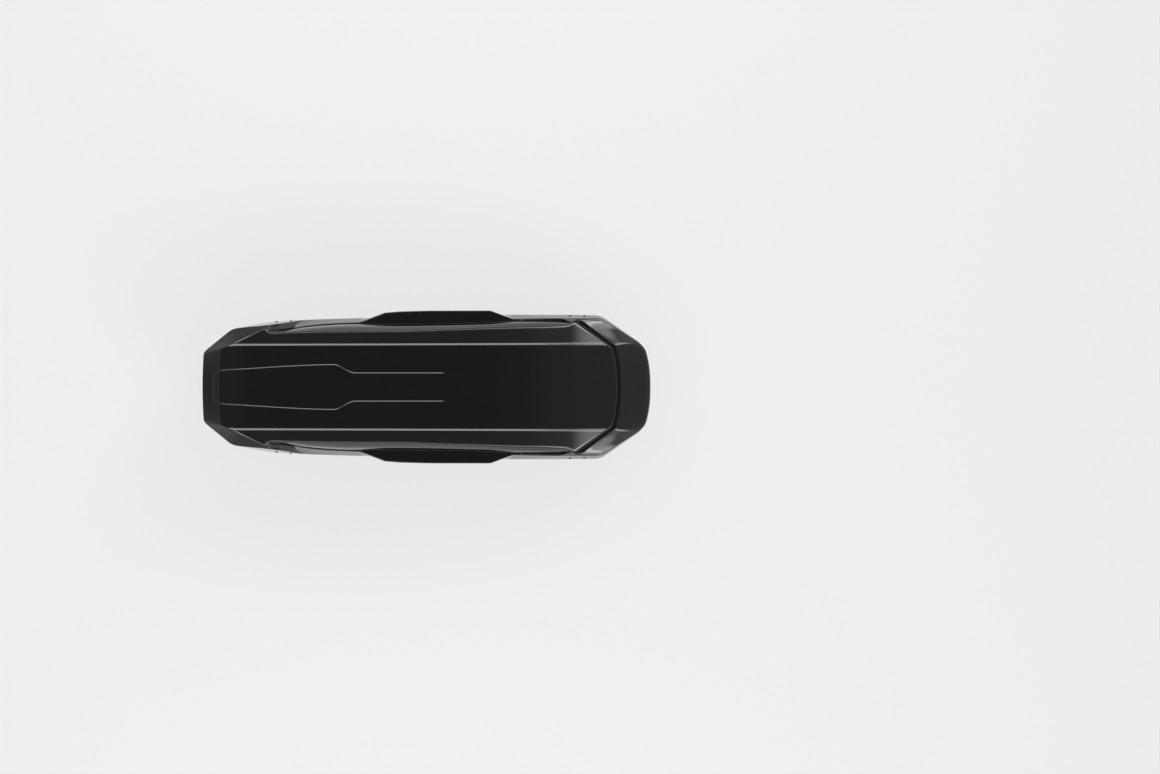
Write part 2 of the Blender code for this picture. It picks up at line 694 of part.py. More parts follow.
def build_base_bracket(unit, side_name, tree, mat):
    """Rod guide and pivot for the other lifter arm, riveted inside the base."""
    centre, way = UNITS[unit]
    guide = GUIDE_PLACE[unit]
    if side_name == "left":
        plate_ends = sorted((way * INNER_PLATE, way * (INNER_PLATE + PLATE)))
        pin = sorted((way * (INNER_PLATE + PLATE / 2), way * STUD_END))
    else:
        plate_ends = sorted((way * OUTER_PLATE, way * (OUTER_PLATE + PLATE)))
        pin = sorted((way * PIN_START, way * (OUTER_PLATE + PLATE / 2)))
    edges = sorted((guide, guide + PLATE, *plate_ends))
    span = [centre + edges[0], centre + edges[-1]]
    levels = [AXIS_Z + WEB_LOW, AXIS_Z + WEB_HIGH]
    name = f"base_bracket_{unit}_{side_name}"
    bracket, corners = slab(name, tree, span, levels, PLATE, mat)
    parts = []
    for low in (guide, plate_ends[0]):
        x = centre + low + PLATE / 2
        foot, head = [slab_half(corners, span, levels, x, z) - AXIS_Y - PLATE / 2 for z in levels]
        outline = arc(BOSS_RADIUS, 0, 180, 8)
        outline += [(-BOSS_RADIUS, -BOSS_RADIUS), (foot - WEB_FOOT, WEB_LOW + WELD), (foot, WEB_LOW + WELD),
                    (head, WEB_HIGH - WELD), (BOSS_RADIUS, -BOSS_RADIUS)]
        shifted = [(a + AXIS_Y, b + AXIS_Z) for a, b in outline]
        parts.append(prism("plate", shifted, centre + low, centre + low + PLATE, "X", mat))
    hinge_line = (AXIS_Y, AXIS_Z)
    parts.append(bar("pin", STUD_RADIUS, centre + pin[0], centre + pin[1], "X", mat, hinge_line))
    join(bracket, parts)
    bore = (centre + guide - PLATE, centre + guide + 2 * PLATE)
    return cut(bracket, [bar("hole", ROD_RADIUS + BORE_GAP, *bore, "X", mat, hinge_line)])


def build_arm(unit, which, mat):
    """Flat lifter arm between the two hinge lines; its origin is on its base pivot."""
    centre, way = UNITS[unit]
    start = INNER_ARM if which == "inner" else OUTER_ARM
    low, high = sorted((way * start, way * (start + ARM_WIDTH)))
    outline = arc(ARM_HALF, -90, 90, 8, (AXIS_Y, 0)) + arc(ARM_HALF, 90, 270, 8, (-AXIS_Y, 0))
    home = 1 if which == "inner" else -1
    shifted = [(a - home * AXIS_Y, b) for a, b in outline]
    arm = prism(f"lifter_arm_{unit}_{which}", shifted, low, high, "X", mat, (centre, home * AXIS_Y, AXIS_Z))
    holes = []
    for y in (0.0, -2 * home * AXIS_Y):
        holes.append(bar("hole", STUD_RADIUS + BORE_GAP, low - PLATE, high + PLATE, "X", mat, (y, 0),
                         place=arm.location))
    return cut(arm, holes)


def build_spring(unit, side_name, mat):
    """Coiled torsion spring round the arm's base pivot, with two short legs."""
    centre, way = UNITS[unit]
    start = INNER_PLATE + PLATE if side_name == "left" else OUTER_ARM + ARM_WIDTH
    wire = SPRING_WIRE
    mean = STUD_RADIUS + SEAT_GAP + wire
    first = start + TOUCH + wire
    length = SPRING_ROOM - 2 * TOUCH - 2 * wire
    path = [Vector((0, mean, -SPRING_LEG))]
    for k in range(SPRING_TURNS * 12 + 1):
        angle = 2 * math.pi * k / 12
        along_x = length * k / (SPRING_TURNS * 12)
        path.append(Vector((along_x, mean * math.cos(angle), mean * math.sin(angle))))
    path.append(Vector((length, mean, SPRING_LEG)))
    bm = bmesh.new()
    rings = []
    for k, p in enumerate(path):
        ahead = path[min(k + 1, len(path) - 1)] - path[max(k - 1, 0)]
        across = ahead.cross(Vector((1, 0, 0))).normalized()
        over = across.cross(ahead).normalized()
        ring = []
        for j in range(6):
            angle = 2 * math.pi * j / 6
            q = p + (across * math.cos(angle) + over * math.sin(angle)) * wire
            ring.append(bm.verts.new((way * (first + q.x), q.y, q.z)))
        rings.append(ring)
    for a, b in zip(rings, rings[1:]):
        for j in range(6):
            n = (j + 1) % 6
            bm.faces.new((a[j], a[n], b[n], b[j]))
    bm.faces.new(rings[0])
    bm.faces.new(rings[-1])
    bmesh.ops.recalc_face_normals(bm, faces=bm.faces)
    return piece(f"lifter_spring_{unit}_{side_name}", bm, mat, (centre, AXIS_Y, AXIS_Z), 50)


def build_rivets(unit, side_name, lid, tree, mat):
    """Two blind rivets that hold a lid bracket: they cut their holes and stand in them."""
    centre, _ = UNITS[unit]
    side = SIDES[side_name]
    bracket = bpy.data.objects[f"lid_bracket_{unit}_{side_name}"]
    for number, x in enumerate((centre - RIVET_SPREAD, centre + RIVET_SPREAD), 1):
        point, normal = wall_at(tree, x, AXIS_Z + RIVET_H, 0.5, False)
        turn = normal.to_track_quat("Z", "Y").to_matrix().to_4x4()
        reach = 2 * WALL + FLANGE + SEAT_GAP
        for target in (lid, bracket):
            hole = bar("hole", RIVET_SHANK + BORE_GAP, -2 * reach, reach, "Z", mat, sides=12, place=point)
            hole.data.transform(turn)
            cut(target, [to_side(hole, side)])
        profile = [(RIVET_SHANK, -(WALL + FLANGE)), (RIVET_SHANK, TOUCH), (RIVET_HEAD, TOUCH),
                   (RIVET_HEAD * 0.8, TOUCH + RIVET_DOME * 0.7), (RIVET_HEAD * 0.35, TOUCH + RIVET_DOME)]
        rivet = turned(f"rivet_{unit}_{side_name}_{number}", profile, mat, 12, point)
        rivet.data.transform(turn)
        to_side(rivet, side)


def turned(name, profile, mat, sides, place=(0, 0, 0)):
    """Solid of revolution about Z through radius and height pairs, closed at both ends."""
    bm = bmesh.new()
    rings = []
    for radius, z in profile:
        rings.append([bm.verts.new((a, b, z)) for a, b in disc(radius, sides)])
    for a, b in zip(rings, rings[1:]):
        for k in range(sides):
            n = (k + 1) % sides
            bm.faces.new((a[k], a[n], b[n], b[k]))
    bm.faces.new(rings[0])
    bm.faces.new(rings[-1])
    bmesh.ops.recalc_face_normals(bm, faces=bm.faces)
    return piece(name, bm, mat, place, 35)


def build_rod(side_name, mat):
    """Lock rod from end to end, with a wide head beside each hook."""
    side = SIDES[side_name]
    rear = UNITS["rear"][0]
    front = UNITS["front"][0]
    rest = HEAD_LEAD - HEAD_LENGTH / 2 - LOCK_TRAVEL
    profile = [(ROD_RADIUS, rear + rest - ROD_TAIL)]
    for centre in (rear, front):
        low = centre + rest
        high = low + HEAD_LENGTH
        profile += [(ROD_RADIUS, low), (HEAD_RADIUS, low), (HEAD_RADIUS, high), (ROD_RADIUS, high)]
    profile.append((ROD_RADIUS, front + HOOK_WIDTH))
    rod = turned(f"lock_rod_{side_name}", profile, mat, 12, (0, side * AXIS_Y, AXIS_Z))
    rod.data.transform(Matrix.Rotation(math.radians(90), 4, "Y"))
    return rod


# Lock in the middle of each side
LOCK_X = 0.048
LOCK_HALF = 0.060
LOCK_HIGH = -0.018
LOCK_LOW = -0.052
LOCK_OUT = 0.0495
LOCK_IN = 0.006
GRIP_X = -0.045
GRIP_LENGTH = 0.035
GRIP_OUT = 0.012
GRIP_HALF = 0.010
STEM_HALF = 0.0035
STEM_LENGTH = 0.012
STEM_IN = 0.005
KEY_X = 0.036
KEY_RADIUS = 0.007
KEY_DEPTH = 0.012
KEY_PROUD = 0.0015
SLIT_HALF = 0.0006
SLIT_REACH = 0.0042
SLIT_DEPTH = 0.004
PAST = 0.010


def build_lock(side_name, base, housing_mat, grip_mat, key_mat):
    """Lock housing in a window of the base, with its sliding grip and its key barrel."""
    side = SIDES[side_name]
    middle = (LOCK_HIGH + LOCK_LOW) / 2
    gap = BORE_GAP
    place = (LOCK_X, AXIS_Y, AXIS_Z + middle)
    half = (LOCK_HIGH - LOCK_LOW) / 2
    window = block("window", (-LOCK_HALF, -PAST, -half), (LOCK_HALF, LOCK_OUT + PAST, half), housing_mat,
                   place)
    cut(base, [to_side(window, side)])
    housing = block(f"lock_housing_{side_name}", (gap - LOCK_HALF, LOCK_IN, gap - half),
                    (LOCK_HALF - gap, LOCK_OUT, half - gap), housing_mat, place)
    stem = (GRIP_X + (GRIP_LENGTH - STEM_LENGTH) / 2, GRIP_X + (GRIP_LENGTH + STEM_LENGTH) / 2)
    slot = block("slot", (stem[0] - gap, LOCK_IN - PAST, -STEM_HALF - gap),
                 (stem[1] + LOCK_TRAVEL + gap, LOCK_OUT + PAST, STEM_HALF + gap), housing_mat, place)
    bore = bar("bore", KEY_RADIUS + gap, LOCK_OUT - KEY_DEPTH, LOCK_OUT + PAST, "Y", housing_mat, (KEY_X, 0),
               place=place)
    to_side(cut(housing, [slot, bore]), side)

    grip = block(f"lock_grip_{side_name}", (GRIP_X, LOCK_OUT + TOUCH, -GRIP_HALF),
                 (GRIP_X + GRIP_LENGTH, LOCK_OUT + GRIP_OUT, GRIP_HALF), grip_mat, place)
    inwards = block("stem", (stem[0], -STEM_IN, -STEM_HALF), (stem[1], LOCK_OUT + GRIP_OUT / 2, STEM_HALF),
                    grip_mat, place)
    upright = block("upright", (stem[0], -STEM_IN, -STEM_HALF),
                    (stem[1], LOCK_IN - SEAT_GAP, -middle - ROD_RADIUS - TOUCH), grip_mat, place)
    to_side(join(grip, [inwards, upright]), side)

    key = bar(f"key_barrel_{side_name}", KEY_RADIUS, TOUCH - KEY_DEPTH, KEY_PROUD, "Y", key_mat,
              place=(LOCK_X + KEY_X, AXIS_Y + LOCK_OUT, AXIS_Z + middle))
    slit = block("slit", (-SLIT_HALF, -SLIT_DEPTH, -SLIT_REACH), (SLIT_HALF, KEY_PROUD + PAST, SLIT_REACH),
                 key_mat, key.location)
    to_side(cut(key, [slit]), side)


# Crossbar clamps
CLAMP_PLACES = {"rear": -0.32, "front": 0.42}
CLAMP_Y = 0.17
BAR_WIDTH = 0.080
BAR_HEIGHT = 0.032
CLAMP_TRAVEL = 0.030
JAW_HALF = 0.014
JAW_THICK = 0.011
JAW_GAP = 0.0015
JAW_OPEN_ROOM = 0.014
JAW_BOSS = 0.008
PIVOT_H = 0.015
PIVOT_PIN = 0.003
HOOK_LENGTH = 0.015
JAW_ROUND = 0.003
SLOT_GAP = 0.003
HOUSING_HALF_X = 0.070
HOUSING_HALF_Y = 0.025
HOUSING_HEIGHT = 0.036
HOUSING_WALL = 0.003
HOUSING_BEVEL = 0.0015
KNOB_RADIUS = 0.030
KNOB_HEIGHT = 0.024
KNOB_LOBES = 6
KNOB_GROOVE = 0.005
SPINDLE_RADIUS = 0.004
SPINDLE_LOW = 0.006
PIVOT_X = BAR_WIDTH / 2 + JAW_GAP + JAW_THICK / 2


def build_clamp(place_name, side_name, base, housing_mat, jaw_mat, knob_mat):
    """Clamp: housing on the floor, knob with its spindle, and two jaws hung through a slot."""
    centre = CLAMP_PLACES[place_name]
    y = SIDES[side_name] * CLAMP_Y
    tag = f"{place_name}_{side_name}"
    reach = PIVOT_X + JAW_THICK / 2 + JAW_OPEN_ROOM + CLAMP_TRAVEL
    slot = block("slot", (centre - reach, y - JAW_HALF - SLOT_GAP, SEAT_Z - PAST),
                 (centre + reach, y + JAW_HALF + SLOT_GAP, FLOOR_Z + PAST), housing_mat)
    cut(base, [slot])

    place = (centre, y, FLOOR_Z)
    half_x, half_y = HOUSING_HALF_X, HOUSING_HALF_Y
    housing = block(f"clamp_housing_{tag}", (-half_x, -half_y, TOUCH), (half_x, half_y, HOUSING_HEIGHT),
                    housing_mat, place)
    bevel = housing.modifiers.new("edges", "BEVEL")
    bevel.width = HOUSING_BEVEL
    bevel.segments = 1
    bevel.limit_method = "ANGLE"
    apply_modifiers(housing)
    inside = block("inside", (HOUSING_WALL - half_x, HOUSING_WALL - half_y, -PAST),
                   (half_x - HOUSING_WALL, half_y - HOUSING_WALL, HOUSING_HEIGHT - HOUSING_WALL),
                   housing_mat, place)
    hole = bar("hole", SPINDLE_RADIUS + BORE_GAP, 0, HOUSING_HEIGHT + PAST, "Z", housing_mat, place=place)
    cut(housing, [inside, hole])
    pin_end = half_y - HOUSING_WALL / 2
    for way in (-1, 1):
        centres = (way * PIVOT_X, PIVOT_H)
        join(housing, [bar("pin", PIVOT_PIN, -pin_end, pin_end, "Y", housing_mat, centres, 12, place)])

    drop = FLOOR_Z + PIVOT_H
    half = JAW_THICK / 2
    under = drop - (SEAT_Z - BAR_HEIGHT)
    tip = -half - HOOK_LENGTH
    for name, way in (("front", 1), ("rear", -1)):
        outline = arc(JAW_BOSS, 0, 180, 8)
        outline += [(-half, -JAW_BOSS), (-half, JAW_ROUND - under), (-half - JAW_ROUND, -under)]
        outline += [(tip, -under), (tip - JAW_ROUND / 2, JAW_ROUND - drop), (tip, -drop)]
        outline += [(half - JAW_ROUND, -drop), (half, JAW_ROUND - drop), (half, -JAW_BOSS)]
        jaw = prism(f"clamp_jaw_{tag}_{name}", [(way * a, b) for a, b in outline], -JAW_HALF, JAW_HALF, "Y",
                    jaw_mat, (centre + way * PIVOT_X, y, drop))
        cut(jaw, [bar("hole", PIVOT_PIN + BORE_GAP, -2 * JAW_HALF, 2 * JAW_HALF, "Y", jaw_mat, sides=12,
                      place=jaw.location)])

    lobes = []
    for k in range(KNOB_LOBES * 6):
        angle = 2 * math.pi * k / (KNOB_LOBES * 6)
        radius = KNOB_RADIUS - KNOB_GROOVE * (1 - math.cos(KNOB_LOBES * angle)) / 2
        lobes.append((radius * math.cos(angle), radius * math.sin(angle)))
    top = HOUSING_HEIGHT + TOUCH
    knob = prism(f"clamp_knob_{tag}", lobes, top, top + KNOB_HEIGHT, "Z", knob_mat, place)
    spindle_top = top + KNOB_HEIGHT / 2
    join(knob, [bar("spindle", SPINDLE_RADIUS, SPINDLE_LOW, spindle_top, "Z", knob_mat, place=place)])


# Floor rails
RAIL_Y = 0.095
RAIL_HALF = 0.016
RAIL_FOOT = 0.0085
RAIL_TOP = 0.007
RAIL_HEIGHT = 0.010
RAIL_ENDS = (-0.60, 0.56)
RAIL_WALL = 0.0015


def build_floor_rail(side_name, mat):
    """Hat-section stiffener along the floor."""
    side = SIDES[side_name]
    outline = [(-RAIL_HALF, 0), (RAIL_HALF, 0), (RAIL_HALF, RAIL_WALL), (RAIL_FOOT, RAIL_WALL),
               (RAIL_TOP, RAIL_HEIGHT), (-RAIL_TOP, RAIL_HEIGHT), (-RAIL_FOOT, RAIL_WALL),
               (-RAIL_HALF, RAIL_WALL)]
    place = (0, side * RAIL_Y, FLOOR_Z + TOUCH)
    return prism(f"floor_rail_{side_name}", outline, *RAIL_ENDS, "X", mat, place)


def clear_scene():
    for obj in list(bpy.data.objects):
        bpy.data.objects.remove(obj)


clear_scene()
gloss = material("gloss_black", (0.012, 0.012, 0.013), 0.12)
matt = material("matt_black", (0.02, 0.02, 0.021), 0.5)
steel = material("zinc_steel", (0.55, 0.55, 0.56), 0.35, 1.0)
dark_steel = material("dark_steel", (0.05, 0.05, 0.055), 0.4, 1.0)
nylon = material("black_nylon", (0.015, 0.015, 0.016), 0.45)
grey = material("grey_nylon", (0.18, 0.18, 0.19), 0.5)

lid = build_lid(gloss)
base = build_base(matt)
lid_tree = tree_of(lid)
base_tree = tree_of(base)

for unit in UNITS:
    for side_name, side in SIDES.items():
        to_side(build_lid_bracket(unit, side_name, lid_tree, steel), side)
        to_side(build_base_bracket(unit, side_name, base_tree, steel), side)
        to_side(build_spring(unit, side_name, dark_steel), side)
        build_rivets(unit, side_name, lid, lid_tree, dark_steel)
    build_arm(unit, "inner", steel)
    build_arm(unit, "outer", steel)

for side_name in SIDES:
    build_rod(side_name, steel)
    build_lock(side_name, base, nylon, grey, steel)
    build_floor_rail(side_name, steel)
    for place_name in CLAMP_PLACES:
        build_clamp(place_name, side_name, base, nylon, dark_steel, grey)
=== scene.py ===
import math

import bmesh
import bpy
from mathutils import Matrix, Vector
from mathutils.bvhtree import BVHTree


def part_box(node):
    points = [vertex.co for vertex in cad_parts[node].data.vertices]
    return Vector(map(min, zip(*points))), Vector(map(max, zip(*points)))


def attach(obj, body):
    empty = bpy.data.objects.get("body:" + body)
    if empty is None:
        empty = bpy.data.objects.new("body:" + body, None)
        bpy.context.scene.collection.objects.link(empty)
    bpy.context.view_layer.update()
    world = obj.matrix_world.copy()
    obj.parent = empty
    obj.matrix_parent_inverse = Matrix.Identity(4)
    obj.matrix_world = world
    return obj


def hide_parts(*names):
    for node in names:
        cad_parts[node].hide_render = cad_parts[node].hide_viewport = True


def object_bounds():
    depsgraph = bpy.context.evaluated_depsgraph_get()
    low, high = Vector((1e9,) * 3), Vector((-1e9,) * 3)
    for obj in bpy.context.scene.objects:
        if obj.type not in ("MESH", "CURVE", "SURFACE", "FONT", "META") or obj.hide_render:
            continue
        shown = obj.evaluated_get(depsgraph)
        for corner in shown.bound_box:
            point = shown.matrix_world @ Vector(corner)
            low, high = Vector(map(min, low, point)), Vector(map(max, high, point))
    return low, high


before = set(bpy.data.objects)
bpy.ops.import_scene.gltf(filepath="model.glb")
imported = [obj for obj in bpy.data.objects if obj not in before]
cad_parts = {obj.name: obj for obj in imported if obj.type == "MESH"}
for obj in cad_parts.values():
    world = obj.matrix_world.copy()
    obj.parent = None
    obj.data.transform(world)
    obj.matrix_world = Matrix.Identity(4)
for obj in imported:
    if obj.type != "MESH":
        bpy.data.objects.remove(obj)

cad_box = [list(corner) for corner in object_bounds()]

# Lid shape. The real lid is one sheet of black ABS under a clear acrylic cap, 3.5 mm thick,
# thermoformed over a tool. Its lines run round it from the rim up: the belt at the top of the
# rim's wall, the ledge that widens into the grip flare, the brow, and the edge of the flat top.
lid_low, lid_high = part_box("lid_shell")
rim_z = lid_low.z
tail_x = lid_low.x
nose_x = lid_high.x
lid_wall = 0.0035

edge_width = 0.011
edge_drop = 0.006
roof_crown = 0.006
shoulder_slope = math.tan(math.radians(22.5))
step_x = nose_x - 0.138
step_width = 0.020
step_h = 0.118
step_rise = 0.014
crest_x = tail_x + 0.075
panel_rise = 0.0024
panel_slant = 0.0045
panel_tail = tail_x + 0.053
panel_round = 0.014
panel_end = 0.160
panel_fade = 0.10
crease_gap = 0.0008


def line_through(*points):
    """Smooth line through points of growing x, without overshoot and flat beyond its ends."""
    xs = [p[0] for p in points]
    ys = [p[1] for p in points]
    rises = [(ys[k + 1] - ys[k]) / (xs[k + 1] - xs[k]) for k in range(len(xs) - 1)]
    slopes = [rises[0]]
    for before, after in zip(rises, rises[1:]):
        slopes.append(2 * before * after / (before + after) if before * after > 0 else 0.0)
    slopes.append(rises[-1])

    def height(x):
        x = min(max(x, xs[0]), xs[-1])
        k = max(i for i in range(len(xs) - 1) if i == 0 or xs[i] <= x)
        width = xs[k + 1] - xs[k]
        t = (x - xs[k]) / width
        start = (1 + 2 * t) * (1 - t) ** 2 * ys[k] + t * (1 - t) ** 2 * width * slopes[k]
        return start + t * t * (3 - 2 * t) * ys[k + 1] + t * t * (t - 1) * width * slopes[k + 1]

    return height


def straight_through(*points):
    """Broken line through points of growing x, flat beyond its ends."""
    def height(x):
        for (xa, ya), (xb, yb) in zip(points, points[1:]):
            if x <= xb:
                return mix(ya, yb, max(0.0, (x - xa) / (xb - xa)))
        return points[-1][1]

    return height


def mix(a, b, share):
    return a + (b - a) * share


def ease(low, high, value):
    """From 0 at low to 1 at high, level at both ends."""
    t = min(1.0, max(0.0, (value - low) / (high - low)))
    return t * t * (3 - 2 * t)


# Half widths and heights over the rim, each for a place along the lid.
side_half = line_through((-0.888, 0.269), (-0.687, 0.2995), (-0.45, 0.3115), (-0.253, 0.317),
                         (0.05, 0.3265), (0.336, 0.331), (0.60, 0.3305), (0.792, 0.328))
flare_half = straight_through((-0.40, 0.2606), (-0.192, 0.3415), (-0.121, 0.347), (0.010, 0.3505),
                              (0.292, 0.351), (0.42, 0.3032))
roof_half = line_through((crest_x, 0.185), (step_x, 0.190))
roof_line = line_through((crest_x, 0.217), (-0.80, 0.238), (-0.55, 0.260), (-0.15, 0.272), (0.15, 0.262),
                         (0.45, 0.227), (0.65, 0.190), (0.80, 0.151), (0.867, 0.132))
panel_half = line_through((-1.00, 0.066), (-0.950, 0.074), (-0.920, 0.080), (-0.829, 0.085), (-0.655, 0.096),
                          (-0.575, 0.100), (-0.425, 0.1045), (-0.409, 0.1035), (-0.400, 0.100),
                          (-0.342, 0.0700), (-0.330, 0.0668), (-0.318, 0.0665), (0.106, 0.0665))
belt_inset = line_through((-0.70, 0.040), (-0.62, 0.034), (-0.578, 0.030), (-0.486, 0.0235), (-0.349, 0.020),
                          (0.35, 0.020), (0.60, 0.016), (0.80, 0.014))
rear_inset = line_through((-0.888, 0.003), (-0.806, 0.008), (-0.744, 0.013), (-0.687, 0.013),
                          (-0.623, 0.010), (-0.560, 0.007))
belt_rise = line_through((-0.888, 0.168), (-0.80, 0.182), (-0.744, 0.190), (-0.718, 0.189), (-0.674, 0.145),
                         (-0.644, 0.107), (-0.60, 0.104), (-0.45, 0.100), (0.55, 0.100), (0.70, 0.086),
                         (0.808, 0.070))
ledge_half = line_through((-0.70, 0.256), (-0.678, 0.257), (-0.578, 0.2670), (-0.486, 0.2785),
                          (-0.349, 0.2865), (-0.212, 0.2860), (0.048, 0.2877), (0.199, 0.2904),
                          (0.313, 0.2950), (0.404, 0.2995), (0.564, 0.3005), (0.680, 0.3025))
brow_half = line_through((-0.940, 0.1720), (-0.840, 0.2192), (-0.745, 0.2640), (-0.7345, 0.2685),
                         (-0.730, 0.2630), (-0.722, 0.2560), (-0.700, 0.2520), (-0.600, 0.2545),
                         (-0.350, 0.2580), (-0.120, 0.2592), (0.048, 0.2650), (0.200, 0.2700),
                         (0.313, 0.2740), (0.473, 0.2785), (0.564, 0.2805),
                         (0.632, 0.2835), (0.655, 0.2870), (0.668, 0.2935), (0.6725, 0.2990))

# Where the belt's and the brow's points stand for each of the rim's, so that the ends of the side
# recess, slanted edges from the brow down to the rim, each fall on one station.
recess_rear = -0.564
recess_front = 0.518
belt_place = line_through((-0.888, -0.885), (-0.74, -0.770), (-0.60, -0.674), (recess_rear, -0.644),
                          (-0.50, -0.538), (-0.42, -0.420), (0.36, 0.360), (0.44, 0.485),
                          (recess_front, 0.600), (0.60, 0.670), (0.70, 0.742), (0.792, 0.7985))
brow_place = line_through((-0.888, -0.860), (-0.74, -0.735), (-0.60, -0.7245), (recess_rear, -0.718),
                          (-0.50, -0.605), (-0.38, -0.380), (0.34, 0.340), (0.44, 0.525),
                          (recess_front, 0.668), (0.60, 0.6710), (0.70, 0.6720), (0.792, 0.6725))


def spaced(start, end, step):
    count = max(1, round(abs(end - start) / step))
    return [mix(start, end, k / count) for k in range(count)]


stations = spaced(0.792, 0.60, 0.012) + spaced(0.60, 0.48, 0.005) + spaced(0.48, 0.40, 0.010)
stations += spaced(0.40, 0.24, 0.005) + spaced(0.24, -0.10, 0.012)
stations += spaced(-0.10, -0.29, 0.005) + spaced(-0.29, -0.50, 0.010) + spaced(-0.50, -0.60, 0.004)
stations += spaced(-0.60, -0.888, 0.016) + [-0.888]
nose_count = 26
corner_count = 5
front_count = 18
rear_count = 16
nose_end = nose_count
side_start = nose_count + corner_count + front_count
side_end = side_start + len(stations) - 1
tail_start = side_end + rear_count


def top_h(x, y):
    """Height over the rim of the flat top, the chamfer round it and the shoulder."""
    half = roof_half(x)
    outside = y - half
    if outside <= 0:
        return roof_line(x) - roof_crown * (y / half) ** 2
    chamfer = edge_drop * min(1.0, outside / edge_width)
    return roof_line(x) - roof_crown - chamfer - shoulder_slope * max(0.0, outside - edge_width)


def panel_lift(x, y):
    """Rise of the panel on the roof, whose rear end is rounded and whose front fades out."""
    ahead = x - panel_tail
    inside = panel_half(x) - y
    if ahead < panel_round and inside < panel_round:
        inside = panel_round - math.hypot(panel_round - ahead, panel_round - inside)
    share = min(1.0, max(0.0, min(ahead, inside) / panel_slant))
    return panel_rise * share * (1 - ease(panel_end - panel_fade, panel_end, x))


# Shares of the tail's half width, from its corner to the middle, closer at the panel's edge.
tail_half = 0.162
tail_split = 0.073 / tail_half
panel_share = 0.025
tail_shares = [1 - (1 - tail_split) * k / 13 for k in range(13)]
tail_shares += [tail_split - panel_share * k / 4 for k in range(4)]
tail_shares += [(tail_split - panel_share) * (1 - k / 12) for k in range(13)]
nose_bend = 2.4


def half_loop(nose, nose_corner, nose_outer, front_corner, side, tail_corner, tail):
    """Plan points of one line: nose, its corner, the diagonal, the side, the rear diagonal and the tail."""
    points = []
    for k in range(nose_count):
        share = k / nose_count
        points.append((mix(nose, nose_corner[0], share ** nose_bend), nose_corner[1] * share))
    for k in range(corner_count):
        share = k / corner_count
        points.append((mix(nose_corner[0], nose_outer[0], share), mix(nose_corner[1], nose_outer[1], share)))
    bends = [nose_outer, front_corner, side[0]]
    lengths = [math.dist(a, b) for a, b in zip(bends, bends[1:])]
    for k in range(front_count):
        reach = (lengths[0] + lengths[1]) * k / front_count
        if reach < lengths[0]:
            points.append(tuple(Vector(bends[0]).lerp(Vector(bends[1]), reach / lengths[0])))
        else:
            points.append(tuple(Vector(bends[1]).lerp(Vector(bends[2]), (reach - lengths[0]) / lengths[1])))
    points += side
    for k in range(1, rear_count):
        share = k / rear_count
        points.append((mix(side[-1][0], tail_corner[0], share), mix(side[-1][1], tail_corner[1], share)))
    for share in tail_shares:
        points.append((mix(tail, tail_corner[0], share ** 2), tail_corner[1] * share))
    return points


def rounded(points, places, passes):
    """The same points with the bends near some places evened out."""
    points = [Vector(p) for p in points]
    weight = [0.0] * len(points)
    for place, spread in places:
        for k in range(max(1, place - spread), min(len(points) - 1, place + spread + 1)):
            weight[k] = max(weight[k], 0.5 * (1 - abs(k - place) / (spread + 1)))
    for _ in range(passes):
        middles = [None] + [(a + b) / 2 for a, b in zip(points, points[2:])] + [None]
        points = [p if weight[k] == 0 else p.lerp(middles[k], weight[k]) for k, p in enumerate(points)]
    return points


def station_near(x):
    return side_start + min(range(len(stations)), key=lambda k: abs(stations[k] - x))


soft_corners = [(nose_end, 4), (nose_end + corner_count, 4), (side_start, 3), (side_start - 2, 3),
                (side_end, 3), (tail_start, 3)]
flare_bends = [(station_near(x), 2) for x in (-0.255, -0.192, -0.121, 0.292, 0.344)]
rim_nose = (nose_x - 0.023, 0.1735)
rim_nose_outer = (nose_x - 0.050, 0.2055)
rim_front = (0.808, 0.320)
rim_tail = (tail_x + 0.005, tail_half)
belt_nose = (rim_nose[0] - 0.0025, rim_nose[1] - 0.001)
belt_nose_outer = (rim_nose_outer[0] - 0.0025, rim_nose_outer[1] - 0.0025)
belt_front = (rim_front[0] - 0.004, rim_front[1] - 0.009)
belt_tail = (rim_tail[0] + 0.004, rim_tail[1] - 0.002)
nose_belt_h = 0.050
tail_belt_h = 0.190
tail_belt_drop = 0.020
brow_nose = (0.848, 0.170)
brow_nose_outer = (0.8215, 0.1957)
brow_front = (0.6725, 0.3000)
brow_tail = (crest_x + 0.010, 0.172)
chevron_nose = (0.868, 0.172)
chevron_outer = (0.8625, 0.1927)
chevron_front = (0.7085, 0.3040)


def on_rim(x):
    return max(side_half(x), flare_half(x))


def level(points, height):
    return [Vector((p[0], p[1], rim_z + height(k, p[0], p[1]))) for k, p in enumerate(points)]


def recessed(x):
    """1 along the recess, and 0 beyond its slanted ends, where the wall stands full."""
    past_rear = ease(recess_rear - 0.008, recess_rear + 0.004, x)
    past_front = ease(recess_front - 0.004, recess_front + 0.008, x)
    return past_rear * (1 - past_front)


rim_plan = half_loop(nose_x, rim_nose, rim_nose_outer, rim_front, [(x, on_rim(x)) for x in stations],
                     rim_tail, tail_x)
flare_lean = 0.002
belt_side = []
for x in stations:
    at = belt_place(x)
    distance = mix(rear_inset(at), belt_inset(at), recessed(x)) if x < 0 else belt_inset(at)
    belt_side.append((at, max(side_half(at) - distance, flare_half(at) - flare_lean)))
belt_plan = half_loop(nose_x - 0.0025, belt_nose, belt_nose_outer, belt_front, belt_side, belt_tail,
                      tail_x + 0.004)


